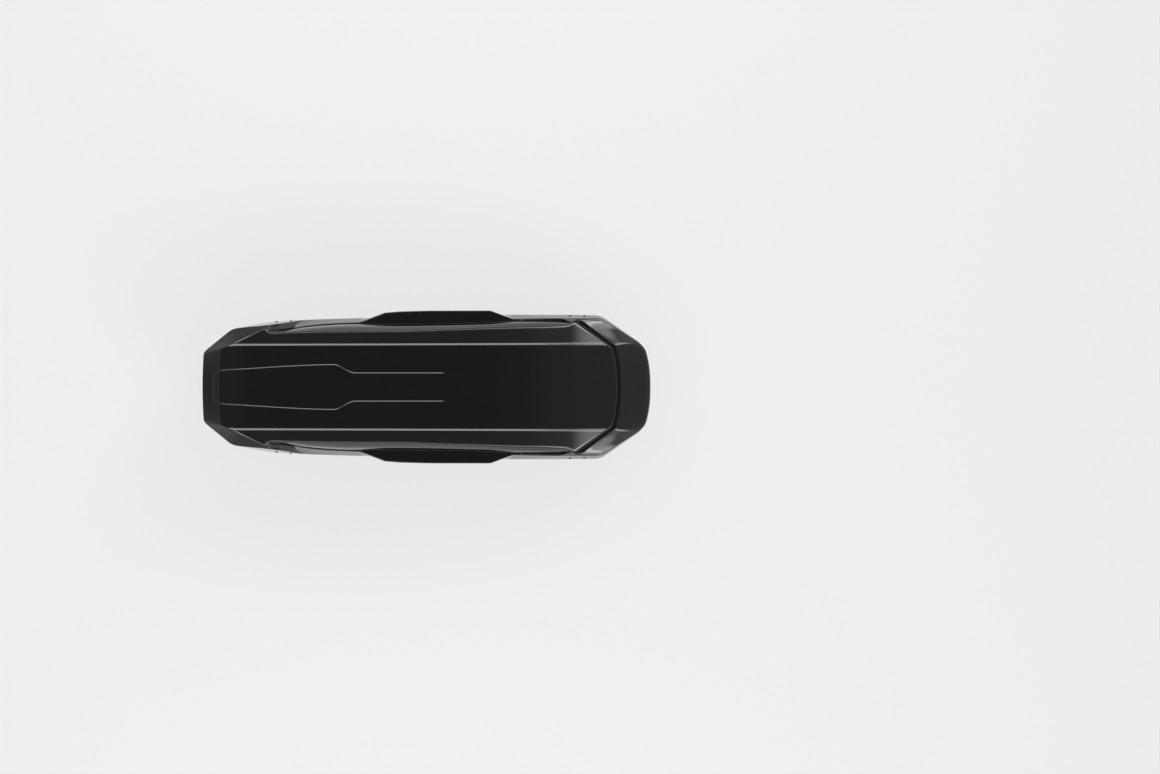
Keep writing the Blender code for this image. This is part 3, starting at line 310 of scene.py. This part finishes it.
def belt_h(k, x, y):
    if k <= nose_end:
        return nose_belt_h
    if k < side_start:
        return mix(nose_belt_h, belt_rise(0.808), (k - nose_end) / (side_start - nose_end))
    if k <= side_end:
        return belt_rise(x)
    tail_height = tail_belt_h - tail_belt_drop * (y / rim_tail[1]) ** 2
    return mix(belt_rise(stations[-1]), tail_height, ease(side_end, tail_start, k))


rim = level(rounded(rim_plan, soft_corners + flare_bends, 4), lambda k, x, y: 0.0)
belt = level(rounded(belt_plan, soft_corners + flare_bends, 4), belt_h)

brow_side = [(brow_place(x), brow_half(brow_place(x))) for x in stations]
brow_side[0] = brow_front
brow_plan = half_loop(step_x - step_width, brow_nose, brow_nose_outer, brow_front, brow_side, brow_tail,
                      crest_x)
ledge_lift = 0.003
ledge_low = 0.098
crest_drop = 0.0015


def ledge_top(k, x):
    if k < side_start:
        return mix(step_h, belt_rise(0.6) + ledge_lift, ease(nose_end, side_start, k))
    return max(belt_rise(x), ledge_low) + ledge_lift


def brow_h(k, x, y):
    if k <= nose_end:
        return step_h + step_rise
    if k >= tail_start:
        return top_h(x, y) - crest_drop
    return max(top_h(x, y), ledge_top(k, x) + step_rise / 2)


brow = level(rounded(brow_plan, [(nose_end, 3), (tail_start, 2)], 2), brow_h)

ledge_width = 0.0045
rim_roll = 0.0035
flare_reach = 0.40
end_blend = 0.06


def ledge_line(inner):
    """One side of the ledge. Beyond the recess's ends it only follows the wall, up to the chevrons."""
    back, slip = (step_width - 0.002, 0.031) if inner else (0.0, 0.0)
    front_share, rear_share, far_share = (0.53, 0.97, 0.16) if inner else (0.33, 0.83, 0.08)
    side = []
    for k, x in enumerate(stations, side_start):
        at = mix(belt[k].x, brow[k].x, front_share if x > 0 else rear_share)
        half = ledge_half(at)
        if not inner:
            half = max(half + ledge_width, belt[k].y - rim_roll if abs(x) < flare_reach else 0.0)
        side.append((at, half))
    side[0] = (chevron_front[0] - slip, chevron_front[1])
    plan = half_loop(step_x - back, (chevron_nose[0] - back, chevron_nose[1]),
                     (chevron_outer[0] - slip, chevron_outer[1]), side[0], side, brow_tail, crest_x)
    line = level(rounded(plan, [(nose_end, 3)], 2), lambda k, x, y: ledge_top(k, x))
    end = Vector(line[side_start])
    for k in range(side_start, len(line)):
        x = stations[k - side_start] if k <= side_end else stations[-1]
        gone = ease(0.0, end_blend, max(recess_rear - x, x - recess_front))
        beyond = belt[k].lerp(brow[k], mix(front_share if x > 0 else rear_share, far_share, gone))
        beyond = beyond.lerp(end, ease(recess_front + 0.01, stations[0], x))
        line[k] = line[k].lerp(beyond, 1 - recessed(x))
    return line


ledge_out = ledge_line(False)
ledge_in = ledge_line(True)
rear_diagonal = straight_through(brow_tail, (-0.7345, 0.2685))
front_diagonal = straight_through(brow_front, brow_nose_outer, brow_nose)
even_front = 0.44
even_rear = -0.50


def roof_edge(width, margin):
    """The edge of the flat top, or the foot of its chamfer; its points are spaced evenly at the ends."""
    places = [p.x for p in brow]
    places[nose_end] -= margin
    places[tail_start] += margin
    for first, last in ((nose_end, station_near(even_front)), (station_near(even_rear), tail_start)):
        for k in range(first + 1, last):
            places[k] = mix(places[first], places[last], (k - first) / (last - first))
    line = []
    for k, (p, x) in enumerate(zip(brow, places)):
        if k <= nose_end:
            x, y = p.x - margin, p.y - margin * k / nose_end
        elif k >= tail_start:
            x, y = p.x + margin, p.y - margin * tail_shares[k - tail_start]
        else:
            reach = min(brow_half(x), rear_diagonal(x), front_diagonal(x))
            y = roof_half(x) + min(width, max(0.0, reach - roof_half(x)) / 2)
            y = min(y, reach - margin)
        line.append(Vector((x, y, rim_z + top_h(x, y))))
    return line


foot = roof_edge(edge_width, 0.0035)
edge = roof_edge(0.0, 0.007)

span_limit = 2.2
round_steps = 5


def profile(knots, rounds, spans, bulges):
    """Points of a wall from its knots: each inner knot is rounded and each span is divided."""
    points = [knots[0]]
    arrive = knots[0]
    for i in range(1, len(knots)):
        last = i == len(knots) - 1
        ahead = knots[i] - knots[i - 1]
        following = ahead if last else knots[i + 1] - knots[i]
        reach = min(ahead.length / span_limit, following.length / span_limit)
        reach = 0.0 if last else min(rounds[i - 1], reach)
        leave = knots[i] - ahead.normalized() * reach
        out = Vector((0, 1 if knots[i].y > 0.001 else 0, 0)) + Vector((0.2, 0, 1))
        for k in range(1, spans[i - 1]):
            share = k / spans[i - 1]
            bulge = bulges[i - 1] * 4 * share * (1 - share)
            points.append(arrive.lerp(leave, share) + out.normalized() * bulge)
        points.append(leave)
        if last:
            break
        beyond = knots[i] + following.normalized() * reach
        for k in range(1, round_steps):
            t = k / round_steps
            points.append(leave.lerp(knots[i], t).lerp(knots[i].lerp(beyond, t), t))
        points.append(beyond)
        arrive = beyond
    return points


wall_spans = (8, 6, 2, 16, 7, 2)
wall_swell = 0.095
facet_bulge = 0.0030
shoulder_bulge = 0.0003
shoulder_rows = slice(-14, -7)
walls = []
for k, knots in enumerate(zip(rim, belt, ledge_out, ledge_in, brow, foot, edge)):
    tail = ease(side_end, tail_start, k)
    x = knots[3].x
    swell = wall_swell * (knots[4].z - knots[3].z) * ease(-0.69, -0.55, x) * (1 - ease(0.50, 0.68, x))
    facet = facet_bulge * ease(nose_end, nose_end + corner_count, k)
    facet *= 1 - ease(side_start - 11, side_start, k)
    wall = profile(knots, (mix(0.008, 0.012, tail), 0.003, 0.003, mix(0.008, 0.004, tail), 0.003),
                   wall_spans, (0, facet, 0, swell, shoulder_bulge, 0))
    if k >= tail_start:
        wall = [p + Vector((0, 0, panel_lift(p.x, p.y))) for p in wall]
    elif k > nose_end:
        for p in wall[shoulder_rows]:
            p.z = rim_z + top_h(p.x, p.y)
    walls.append(wall)


def roof_row(x, half):
    """Roof points across one side, from the middle to just inside the edge."""
    panel = panel_half(x)
    lanes = [panel * share for share in (0, 0.2, 0.4, 0.6, 0.8)]
    lanes += [panel - panel_slant + step for step in (-crease_gap, 0.0, crease_gap)]
    lanes += [panel + step for step in (-crease_gap, 0.0, crease_gap)]
    lanes += [mix(panel + crease_gap, half, share) for share in (0.15, 0.32, 0.5, 0.68, 0.84, 0.95)]
    return [Vector((x, y, rim_z + top_h(x, y) + panel_lift(x, y))) for y in lanes]


def build_half(bm, side):
    """One half of the lid's outer face."""
    loops = [[bm.verts.new((p.x, side * p.y, p.z)) for p in points] for points in walls]
    for a, b in zip(loops, loops[1:]):
        for k in range(len(a) - 1):
            bm.faces.new((a[k], b[k], b[k + 1], a[k + 1]))
    inner = [column[-1] for column in loops]
    rows = []
    for k in range(nose_end + 1, tail_start):
        row = roof_row(edge[k].x, edge[k].y)
        rows.append([bm.verts.new((p.x, side * p.y, p.z)) for p in row] + [inner[k]])
    for a, b in zip(rows, rows[1:]):
        for c in range(len(a) - 1):
            bm.faces.new((a[c], b[c], b[c + 1], a[c + 1]))
    bridge(bm, inner[:nose_end + 1], rows[0])
    bridge(bm, inner[:tail_start - 1:-1], rows[-1])


def bridge(bm, line, row):
    """Faces between two lines across the roof that have unlike numbers of points."""
    i = j = 0
    while i < len(line) - 1 or j < len(row) - 1:
        forward = j == len(row) - 1 or (i < len(line) - 1 and abs(line[i + 1].co.y) <= abs(row[j + 1].co.y))
        if forward:
            bm.faces.new((line[i], line[i + 1], row[j]))
            i += 1
        else:
            bm.faces.new((line[i], row[j + 1], row[j]))
            j += 1


def new_piece(name, bm, finish, body):
    """A shaded object from a mesh in world coordinates, which rides on a body."""
    mesh = bpy.data.meshes.new(name)
    bm.to_mesh(mesh)
    bm.free()
    mesh.shade_smooth()
    piece = bpy.data.objects.new(name, mesh)
    bpy.context.scene.collection.objects.link(piece)
    for each in finish:
        mesh.materials.append(each)
    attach(piece, body)
    return piece


join_distance = 0.00005
lid_mesh = bmesh.new()
build_half(lid_mesh, 1)
build_half(lid_mesh, -1)
bmesh.ops.remove_doubles(lid_mesh, verts=lid_mesh.verts, dist=join_distance)
bmesh.ops.recalc_face_normals(lid_mesh, faces=lid_mesh.faces)
lid_skin = BVHTree.FromBMesh(lid_mesh)


# Lid finish. The acrylic cap outside is deep and glossy, with the faint orange peel of the sheet.
# Inside, the same sheet is left as it came off the tool, matt and slightly pebbled.
mix_first = 6
mix_second = 7
mix_colour = 2


class Wire:
    """A socket in a material's nodes. Sums on wires add Math nodes."""

    def __init__(self, tree, socket=None):
        self.tree = tree
        self.socket = socket

    def add(self, kind, settings, values, output=0):
        """New node: its settings first, then the values or wires of its sockets."""
        node = self.tree.nodes.new("ShaderNode" + kind)
        for name, setting in settings.items():
            if name == "stops":
                stops = node.color_ramp.elements
                stops[0].position = setting[0][0]
                stops[1].position = setting[-1][0]
                for place, _ in setting[1:-1]:
                    stops.new(place)
                for stop, (_, grey) in zip(stops, setting):
                    stop.color = (grey, grey, grey, 1)
            else:
                setattr(node, name, setting)
        for name, value in values.items():
            if isinstance(value, Wire):
                self.tree.links.new(value.socket, node.inputs[name])
            else:
                node.inputs[name].default_value = value
        return Wire(self.tree, node.outputs[output])

    def sum(self, operation, first, second):
        return self.add("Math", {"operation": operation}, {0: first, 1: second})

    def __add__(self, other):
        return self.sum("ADD", self, other)

    def __radd__(self, other):
        return self.sum("ADD", other, self)

    def __sub__(self, other):
        return self.sum("SUBTRACT", self, other)

    def __rsub__(self, other):
        return self.sum("SUBTRACT", other, self)

    def __mul__(self, other):
        return self.sum("MULTIPLY", self, other)

    def __rmul__(self, other):
        return self.sum("MULTIPLY", other, self)


def finish_of(name, fixed):
    """New material: its shader, with the values that are the same all over, and a wire to start from."""
    material = bpy.data.materials.new(name)
    material.use_nodes = True
    shader = material.node_tree.nodes["Principled BSDF"]
    for socket, value in fixed.items():
        shader.inputs[socket].default_value = value
    return material, shader, Wire(material.node_tree)


def grain(wires, scale, detail=2.0, roughness=0.5):
    """Noise over the piece, in metres: scale is grains per metre."""
    place = wires.add("TexCoord", {}, {}, "Object")
    return wires.add("TexNoise", {}, {"Vector": place, "Scale": scale, "Detail": detail,
                                      "Roughness": roughness}, "Fac")


def connect(wires, shader, sockets):
    for name, wire in sockets.items():
        wires.tree.links.new(wire.socket, shader.inputs[name])


def bumped(wires, height, depth):
    """Surface normal that follows a height, in metres."""
    return wires.add("Bump", {}, {"Height": height, "Distance": depth, "Strength": 1.0})


def tinted(wires, share, dark, light):
    """Colour between two others."""
    values = {"Factor": share, mix_first: (*dark, 1), mix_second: (*light, 1)}
    return wires.add("Mix", {"data_type": "RGBA"}, values, mix_colour)


lid_gloss, shader, wires = finish_of("lid_gloss", {"IOR": 1.6})
haze = grain(wires, 6.0, 4.0)
peel = grain(wires, 95.0, 1.0)
dust = grain(wires, 900.0, 2.0)
connect(wires, shader, {
    "Base Color": tinted(wires, haze, (0.0022, 0.0022, 0.0024), (0.0042, 0.0042, 0.0044)),
    "Roughness": 0.045 + haze * 0.05 + dust * 0.02,
    "Normal": bumped(wires, peel, 0.00002),
})

lid_inside, shader, wires = finish_of("lid_inside", {})
pebble = grain(wires, 420.0, 3.0)
clouds = grain(wires, 9.0, 3.0)
connect(wires, shader, {
    "Base Color": tinted(wires, clouds, (0.016, 0.016, 0.017), (0.028, 0.028, 0.029)),
    "Roughness": 0.42 + clouds * 0.12,
    "Normal": bumped(wires, pebble, 0.0002),
})

lid = new_piece("lid_outer", lid_mesh, [lid_gloss, lid_inside], "lid")
thick = lid.modifiers.new("sheet", "SOLIDIFY")
thick.thickness = lid_wall
thick.offset = -1
thick.material_offset = 1
thick.material_offset_rim = 0
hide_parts("lid_shell")

# Base tub. The real tub is one sheet of textured black ABS, 3.5 mm thick, thermoformed with
# drafted walls, a soft bilge and three stiffening beads along its floor. The clamps' slots and the
# lock windows are routed out of it.
base_low, base_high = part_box("base_shell")
rim_gap = 0.0085
lip_depth = 0.003
bilge_rise = 0.022
tub_lean = (rim_z - base_low.z - bilge_rise) * math.tan(math.radians(31))
bilge_lean = 0.016
bow_keeps = 0.80
stern_keeps = 0.92
bead_places = (0.0, 0.048)
bead_height = 0.003
bead_middle = -0.02
floor_rings = 40
floor_keeps = (0.955, 0.93)
middle_keeps = 0.35
tub_rounds = (0.003, 0.030, 0.012)
tub_spans = (2, 8, 2, 2)
slot_half_x = 0.0965
slot_half_y = 0.017


def inset(points, distance):
    """Half a plan line, moved inwards."""
    before = [Vector((points[1].x, -points[1].y))] + points[:-1]
    after = points[1:] + [Vector((points[-2].x, -points[-2].y))]
    moved = []
    for a, p, b in zip(before, points, after):
        ahead = (b - a).normalized()
        moved.append(p + Vector((-ahead.y, ahead.x)) * distance)
    return moved


def tub_point(p, height, lean, share):
    """Where a point of the tub's upper edge comes to, further down its wall."""
    keeps = bow_keeps if p.x > 0 else stern_keeps
    kept = 1 - (1 - keeps) * share * (p.x / nose_x) ** 2
    return Vector((p.x * kept, p.y - lean * min(1.0, p.y / rim_tail[1]), height))


def bead_rise(x, y):
    rise = max(1 - ease(0.005, 0.012, abs(y - place)) for place in bead_places)
    return bead_height * rise * (1 - ease(0.50, 0.53, abs(x - bead_middle)))


def tub_columns():
    """Lines down the tub's outer face, from its lip to the middle of its floor."""
    plain = half_loop(nose_x, rim_nose, rim_nose_outer, rim_front, [(x, side_half(x)) for x in stations],
                      rim_tail, tail_x)
    columns = []
    for p in inset([Vector(q) for q in rounded(plain, soft_corners, 4)], rim_gap):
        floor_edge = tub_point(p, base_low.z, tub_lean + bilge_lean, 1.2)
        knots = [tub_point(p, base_high.z, 0.0, 0.0), tub_point(p, rim_z - lip_depth, 0.0, 0.0),
                 tub_point(p, base_low.z + bilge_rise, tub_lean, 1.0), floor_edge,
                 Vector((floor_edge.x * floor_keeps[0], floor_edge.y * floor_keeps[1], base_low.z))]
        column = profile(knots, tub_rounds, tub_spans, (0, 0, 0, 0))
        for k in range(1, floor_rings + 1):
            share = 1 - k / floor_rings
            x, y = knots[-1].x * mix(middle_keeps, 1, share), knots[-1].y * share
            column.append(Vector((x, y, base_low.z + bead_rise(x, y))))
        columns.append(column)
    return columns


def carve(piece, boxes):
    """Cut boxes, given by their corners, out of a piece for good."""
    bm = bmesh.new()
    for low, high in boxes:
        made = bmesh.ops.create_cube(bm, size=1.0)
        for vertex in made["verts"]:
            vertex.co = [mix(a, b, c + 0.5) for a, b, c in zip(low, high, vertex.co)]
    tool = bpy.data.objects.new("tool", bpy.data.meshes.new("tool"))
    bm.to_mesh(tool.data)
    bm.free()
    bpy.context.scene.collection.objects.link(tool)
    cut = piece.modifiers.new("cut", "BOOLEAN")
    cut.solver = "EXACT"
    cut.object = tool
    bpy.context.view_layer.update()
    shown = piece.evaluated_get(bpy.context.evaluated_depsgraph_get())
    piece.data = bpy.data.meshes.new_from_object(shown)
    piece.modifiers.clear()
    piece.data.shade_smooth()
    piece.data.set_sharp_from_angle(angle=math.radians(40))
    bpy.data.objects.remove(tool)


base_mesh = bmesh.new()
for side in (1, -1):
    loops = [[base_mesh.verts.new((p.x, side * p.y, p.z)) for p in column] for column in tub_columns()]
    for a, b in zip(loops, loops[1:]):
        for k in range(len(a) - 1):
            corners = (a[k], a[k + 1], b[k + 1], b[k])
            base_mesh.faces.new(corners if side > 0 else corners[:1] + corners[:0:-1])
bmesh.ops.remove_doubles(base_mesh, verts=base_mesh.verts, dist=join_distance)

base_matt, shader, wires = finish_of("base_matt", {})
pebble = grain(wires, 520.0, 2.0)
clouds = grain(wires, 7.0, 3.0)
connect(wires, shader, {
    "Base Color": tinted(wires, clouds, (0.0145, 0.0145, 0.0155), (0.024, 0.024, 0.025)),
    "Roughness": 0.46 + clouds * 0.10 + pebble * 0.06,
    "Normal": bumped(wires, pebble, 0.00035),
})

base = new_piece("base_tub", base_mesh, [base_matt], "base")
thick = base.modifiers.new("sheet", "SOLIDIFY")
thick.thickness = lid_wall
thick.offset = -1
cutter_reach = 0.01
cutter_top = 0.012
routed = []
for side_name in ("left", "right"):
    for place in ("front", "rear"):
        low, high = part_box(f"clamp_housing_{place}_{side_name}")
        middle = (low + high) / 2
        routed.append(((middle.x - slot_half_x, middle.y - slot_half_y, base_low.z - cutter_reach),
                       (middle.x + slot_half_x, middle.y + slot_half_y, base_low.z + cutter_top)))
    low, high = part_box(f"lock_housing_{side_name}")
    reach = cutter_reach if side_name == "left" else -cutter_reach
    routed.append(((low.x, min(low.y, low.y + reach), low.z), (high.x, max(high.y, high.y + reach), high.z)))
carve(base, routed)
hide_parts("base_shell")

# Rivets. Each lid bracket hangs on two black blind rivets, pulled from outside: a low dome with
# the mandrel's dimple in it, a shank through sheet and flange, and a bulb behind.
rivet_outline = ((0.0, 0.0014), (0.0011, 0.0014), (0.0014, 0.0025), (0.0022, 0.0030), (0.0038, 0.0026),
                 (0.0054, 0.0016), (0.0064, 0.0004), (0.0064, -0.0003), (0.0024, -0.0003), (0.0024, -0.0068),
                 (0.0038, -0.0072), (0.0036, -0.0088), (0.0, -0.0096))


def turned(outline, sides, lobes=0, groove=0.0):
    """Mesh turned about Z from radii and heights; the lobes are this share of the radius deep."""
    bm = bmesh.new()
    rings = []
    for radius, height in outline:
        ring = []
        for k in range(sides):
            angle = 2 * math.pi * k / sides
            r = radius * (1 - groove * (1 - math.cos(lobes * angle)) / 2)
            ring.append(bm.verts.new((r * math.cos(angle), r * math.sin(angle), height)))
        rings.append(ring)
    for upper, lower in zip(rings, rings[1:]):
        for k in range(sides):
            n = (k + 1) % sides
            bm.faces.new((upper[k], lower[k], lower[n], upper[n]))
    bmesh.ops.remove_doubles(bm, verts=bm.verts, dist=0.000001)
    bmesh.ops.recalc_face_normals(bm, faces=bm.faces)
    return bm


rivet_black, shader, wires = finish_of("rivet_black", {"Specular IOR Level": 0.1})
speck = grain(wires, 700.0, 2.0)
connect(wires, shader, {
    "Base Color": tinted(wires, speck, (0.012, 0.012, 0.013), (0.026, 0.026, 0.028)),
    "Roughness": 0.48 + speck * 0.15,
})

rivet_sides = 28
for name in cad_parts:
    if not name.startswith("rivet_"):
        continue
    low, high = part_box(name)
    middle = (low + high) / 2
    side = 1 if middle.y > 0 else -1
    spot, facing = lid_skin.ray_cast(Vector((middle.x, 0, middle.z)), Vector((0, side, 0)))[:2]
    if facing.y * side < 0:
        facing = -facing
    rivet_mesh = turned(rivet_outline, rivet_sides)
    rivet_mesh.transform(Matrix.Translation(spot) @ facing.to_track_quat("Z", "Y").to_matrix().to_4x4())
    rivet = new_piece(name + "_dome", rivet_mesh, [rivet_black], "lid")
    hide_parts(name)

# Brackets and lifter arms. The brackets are bent from steel plate, and the arms are flat pressed
# bars that turn on the brackets' studs. All are zinc plated, and tumbling has broken their edges.
zinc_steel, shader, wires = finish_of("zinc_steel", {"Metallic": 1.0})
cloud = grain(wires, 30.0, 4.0, 0.6)
brushed = grain(wires, 900.0, 3.0)
connect(wires, shader, {
    "Base Color": tinted(wires, cloud, (0.48, 0.49, 0.50), (0.64, 0.64, 0.63)),
    "Roughness": 0.24 + cloud * 0.20 + brushed * 0.05,
    "Normal": bumped(wires, brushed, 0.00002),
})


def dress(start, finish, broken):
    """Give a finish to the solids whose names start so, and break their edges by a width."""
    for name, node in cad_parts.items():
        if not name.startswith(start):
            continue
        node.data.materials.clear()
        node.data.materials.append(finish)
        if broken:
            soft = node.modifiers.new("broken_edges", "BEVEL")
            soft.width = broken
            soft.segments = 3 if broken > 0.001 else 2
            soft.limit_method = "ANGLE"
            soft.angle_limit = math.radians(38)


dress("lid_bracket", zinc_steel, 0.0005)
dress("base_bracket", zinc_steel, 0.0005)
dress("lifter_arm", zinc_steel, 0.0008)

# Lifter springs. Each is a torsion spring with two short legs, wound of oiled round steel wire
# about the stud of a base bracket.
spring_steel, shader, wires = finish_of("spring_steel", {"Metallic": 1.0})
film = grain(wires, 120.0, 3.0)
connect(wires, shader, {
    "Base Color": tinted(wires, film, (0.09, 0.09, 0.10), (0.16, 0.155, 0.15)),
    "Roughness": 0.26 + film * 0.16,
})
dress("lifter_spring", spring_steel, 0.0)

# Floor rails. Two rolled sections of zinc plated steel strip, fixed along the floor, stiffen the
# base.
dress("floor_rail", zinc_steel, 0.0004)

# Locks. Each side has a turned steel rod with wide heads, a sliding grip moulded in grey nylon, a
# housing moulded in black nylon in the base's window, and a plated key barrel.
black_nylon, shader, wires = finish_of("black_nylon", {})
speck = grain(wires, 1400.0, 2.0)
connect(wires, shader, {
    "Base Color": tinted(wires, speck, (0.011, 0.011, 0.012), (0.019, 0.019, 0.020)),
    "Roughness": 0.40 + speck * 0.16,
    "Normal": bumped(wires, speck, 0.00008),
})

grey_nylon, shader, wires = finish_of("grey_nylon", {})
speck = grain(wires, 1400.0, 2.0)
connect(wires, shader, {
    "Base Color": tinted(wires, speck, (0.155, 0.155, 0.165), (0.205, 0.205, 0.215)),
    "Roughness": 0.42 + speck * 0.16,
    "Normal": bumped(wires, speck, 0.00008),
})
dress("lock_rod", zinc_steel, 0.0004)
dress("lock_grip", grey_nylon, 0.0018)
dress("lock_housing", black_nylon, 0.0010)
dress("key_barrel", zinc_steel, 0.0003)

# Clamps. A moulded nylon housing stands on the floor over each slot, and two forged steel jaws,
# powder coated black, swing below it to grip the crossbar.
jaw_steel, shader, wires = finish_of("jaw_steel", {})
peel = grain(wires, 480.0, 1.0)
connect(wires, shader, {
    "Base Color": tinted(wires, peel, (0.022, 0.022, 0.024), (0.034, 0.034, 0.036)),
    "Roughness": 0.38 + peel * 0.12,
    "Normal": bumped(wires, peel, 0.00012),
})
dress("clamp_housing", black_nylon, 0.0012)
dress("clamp_jaw", jaw_steel, 0.0012)

# Clamp knobs. Each is a grey moulded hand wheel with six lobes and a dished top, moulded on to a
# zinc plated spindle that runs down into the clamp's housing.
knob_height = 0.024
knob_outline = ((0.0, 0.0205), (0.0095, 0.0205), (0.0108, 0.0213), (0.0120, 0.0236), (0.0138, 0.0240),
                (0.0255, 0.0240), (0.0283, 0.0232), (0.0297, 0.0212), (0.0300, 0.0185), (0.0300, 0.0040),
                (0.0294, 0.0016), (0.0276, 0.0), (0.0, 0.0))
knob_sides = 144
knob_lobes = 6
lobe_depth = 0.1667
spindle_radius = 0.004
spindle_sides = 24
spindle_chamfer = 0.0008
hub_overlap = 0.001
crisp = math.radians(50)

for place in ("front_left", "front_right", "rear_left", "rear_right"):
    low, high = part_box("clamp_knob_" + place)
    middle = (low + high) / 2
    knob_mesh = turned(knob_outline, knob_sides, knob_lobes, lobe_depth)
    knob_mesh.transform(Matrix.Translation((middle.x, middle.y, high.z - knob_height)))
    knob = new_piece("knob_wheel_" + place, knob_mesh, [grey_nylon], "knob_" + place)
    knob.data.set_sharp_from_angle(angle=crisp)
    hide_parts("clamp_knob_" + place)
    reach = high.z - knob_height - low.z
    rod_outline = ((0.0, reach + hub_overlap), (spindle_radius, reach + hub_overlap),
                   (spindle_radius, spindle_chamfer), (spindle_radius - spindle_chamfer, 0.0), (0.0, 0.0))
    rod_mesh = turned(rod_outline, spindle_sides)
    rod_mesh.transform(Matrix.Translation((middle.x, middle.y, low.z)))
    rod = new_piece("knob_spindle_" + place, rod_mesh, [zinc_steel], "knob_" + place)
    rod.data.set_sharp_from_angle(angle=crisp)

# Studio. A pale floor under a dim, plain sky that brightens to the horizon, with a long soft lamp
# over each side and a soft glow off each front corner. The camera looks straight down from far off.
floor_size = 60.0
pale_grey = (0.97, 0.97, 0.97, 1)
plain_share = 0.72
bm = bmesh.new()
bmesh.ops.create_grid(bm, x_segments=1, y_segments=1, size=floor_size / 2)
floor_mesh = bpy.data.meshes.new("floor")
bm.to_mesh(floor_mesh)
bm.free()
floor = bpy.data.objects.new("floor", floor_mesh)
floor.location.z = cad_box[0][2]
bpy.context.scene.collection.objects.link(floor)
pale = bpy.data.materials.new("pale_floor")
pale.use_nodes = True
wires = Wire(pale.node_tree)
straight = wires.add("LightPath", {}, {}, "Is Camera Ray")
glossy = wires.add("LightPath", {}, {}, "Is Glossy Ray")
lit = wires.add("BsdfDiffuse", {}, {"Color": (0.8, 0.8, 0.8, 1)})
plain = wires.add("Emission", {}, {"Color": pale_grey, "Strength": 1.0})
shown = wires.add("MixShader", {}, {0: (straight + glossy) * plain_share, 1: lit, 2: plain})
pale.node_tree.links.new(shown.socket, pale.node_tree.nodes["Material Output"].inputs["Surface"])
pale.node_tree.nodes.remove(pale.node_tree.nodes["Principled BSDF"])
floor_mesh.materials.append(pale)

sky_stops = [(0.0, 0.85), (0.20, 0.68), (0.45, 0.40), (0.70, 0.22), (0.90, 0.155), (1.0, 0.150)]
corner_glow = Vector((0.573, 0.683, 0.454)).normalized()
world = bpy.data.worlds.new("studio")
bpy.context.scene.world = world
world.use_nodes = True
wires = Wire(world.node_tree)
up = wires.add("TexCoord", {}, {}, "Generated")
height = wires.add("SeparateXYZ", {}, {"Vector": up}, "Z")
sky = wires.add("ValToRGB", {"stops": sky_stops}, {"Fac": height})
outward = wires.add("VectorMath", {"operation": "ABSOLUTE"}, {0: up})
forward = wires.add("SeparateXYZ", {}, {"Vector": up}, "X")
lengthwise = wires.add("SeparateXYZ", {}, {"Vector": outward}, "X")
aligned = wires.add("VectorMath", {"operation": "DOT_PRODUCT"}, {0: outward, 1: corner_glow}, "Value")
glow = wires.add("MapRange", {"interpolation_type": "SMOOTHSTEP"},
                 {"Value": aligned, "From Min": 0.962, "From Max": 0.996, "To Max": 4.0})
ends = wires.add("MapRange", {"interpolation_type": "SMOOTHSTEP"},
                 {"Value": lengthwise, "From Min": 0.20, "From Max": 0.45, "To Max": 0.12})
added = ends + glow * wires.sum("GREATER_THAN", forward, 0.0)
sky = wires.add("MixRGB", {"blend_type": "ADD"}, {"Fac": 1.0, "Color1": sky, "Color2": added})
camera_ray = wires.add("LightPath", {}, {}, "Is Camera Ray")
backdrop = wires.add("Mix", {"data_type": "RGBA"},
                     {"Factor": camera_ray, mix_first: sky, mix_second: pale_grey}, mix_colour)
background = world.node_tree.nodes["Background"]
world.node_tree.links.new(backdrop.socket, background.inputs["Color"])

lamp_angle = math.radians(57)
lamp_distance = 3.5
lamp_radiance = 4.6
box_height = 0.4
for side in (-1, 1):
    lamp = bpy.data.lights.new(f"side_lamp_{side}", "AREA")
    lamp.shape = "RECTANGLE"
    lamp.size = 5.2
    lamp.size_y = 0.44
    lamp.energy = lamp_radiance * math.pi * lamp.size * lamp.size_y
    held = bpy.data.objects.new(lamp.name, lamp)
    bpy.context.scene.collection.objects.link(held)
    held.location = (0.1, side * lamp_distance * math.sin(lamp_angle),
                     box_height + lamp_distance * math.cos(lamp_angle))
    held.rotation_euler = (-side * lamp_angle, 0, 0)

scene = bpy.context.scene
photo_span = 5.297
photo_middle = 0.701
camera_height = 60.0
camera_aim = 0.3
film_width = 36.0
camera = bpy.data.objects.new("camera", bpy.data.cameras.new("camera"))
scene.collection.objects.link(camera)
camera.location = (photo_middle, 0.0, camera_height + camera_aim)
camera.data.sensor_width = film_width
camera.data.lens = film_width * camera_height / photo_span
camera.data.clip_end = 200.0
scene.camera = camera
scene.view_settings.view_transform = "Standard"
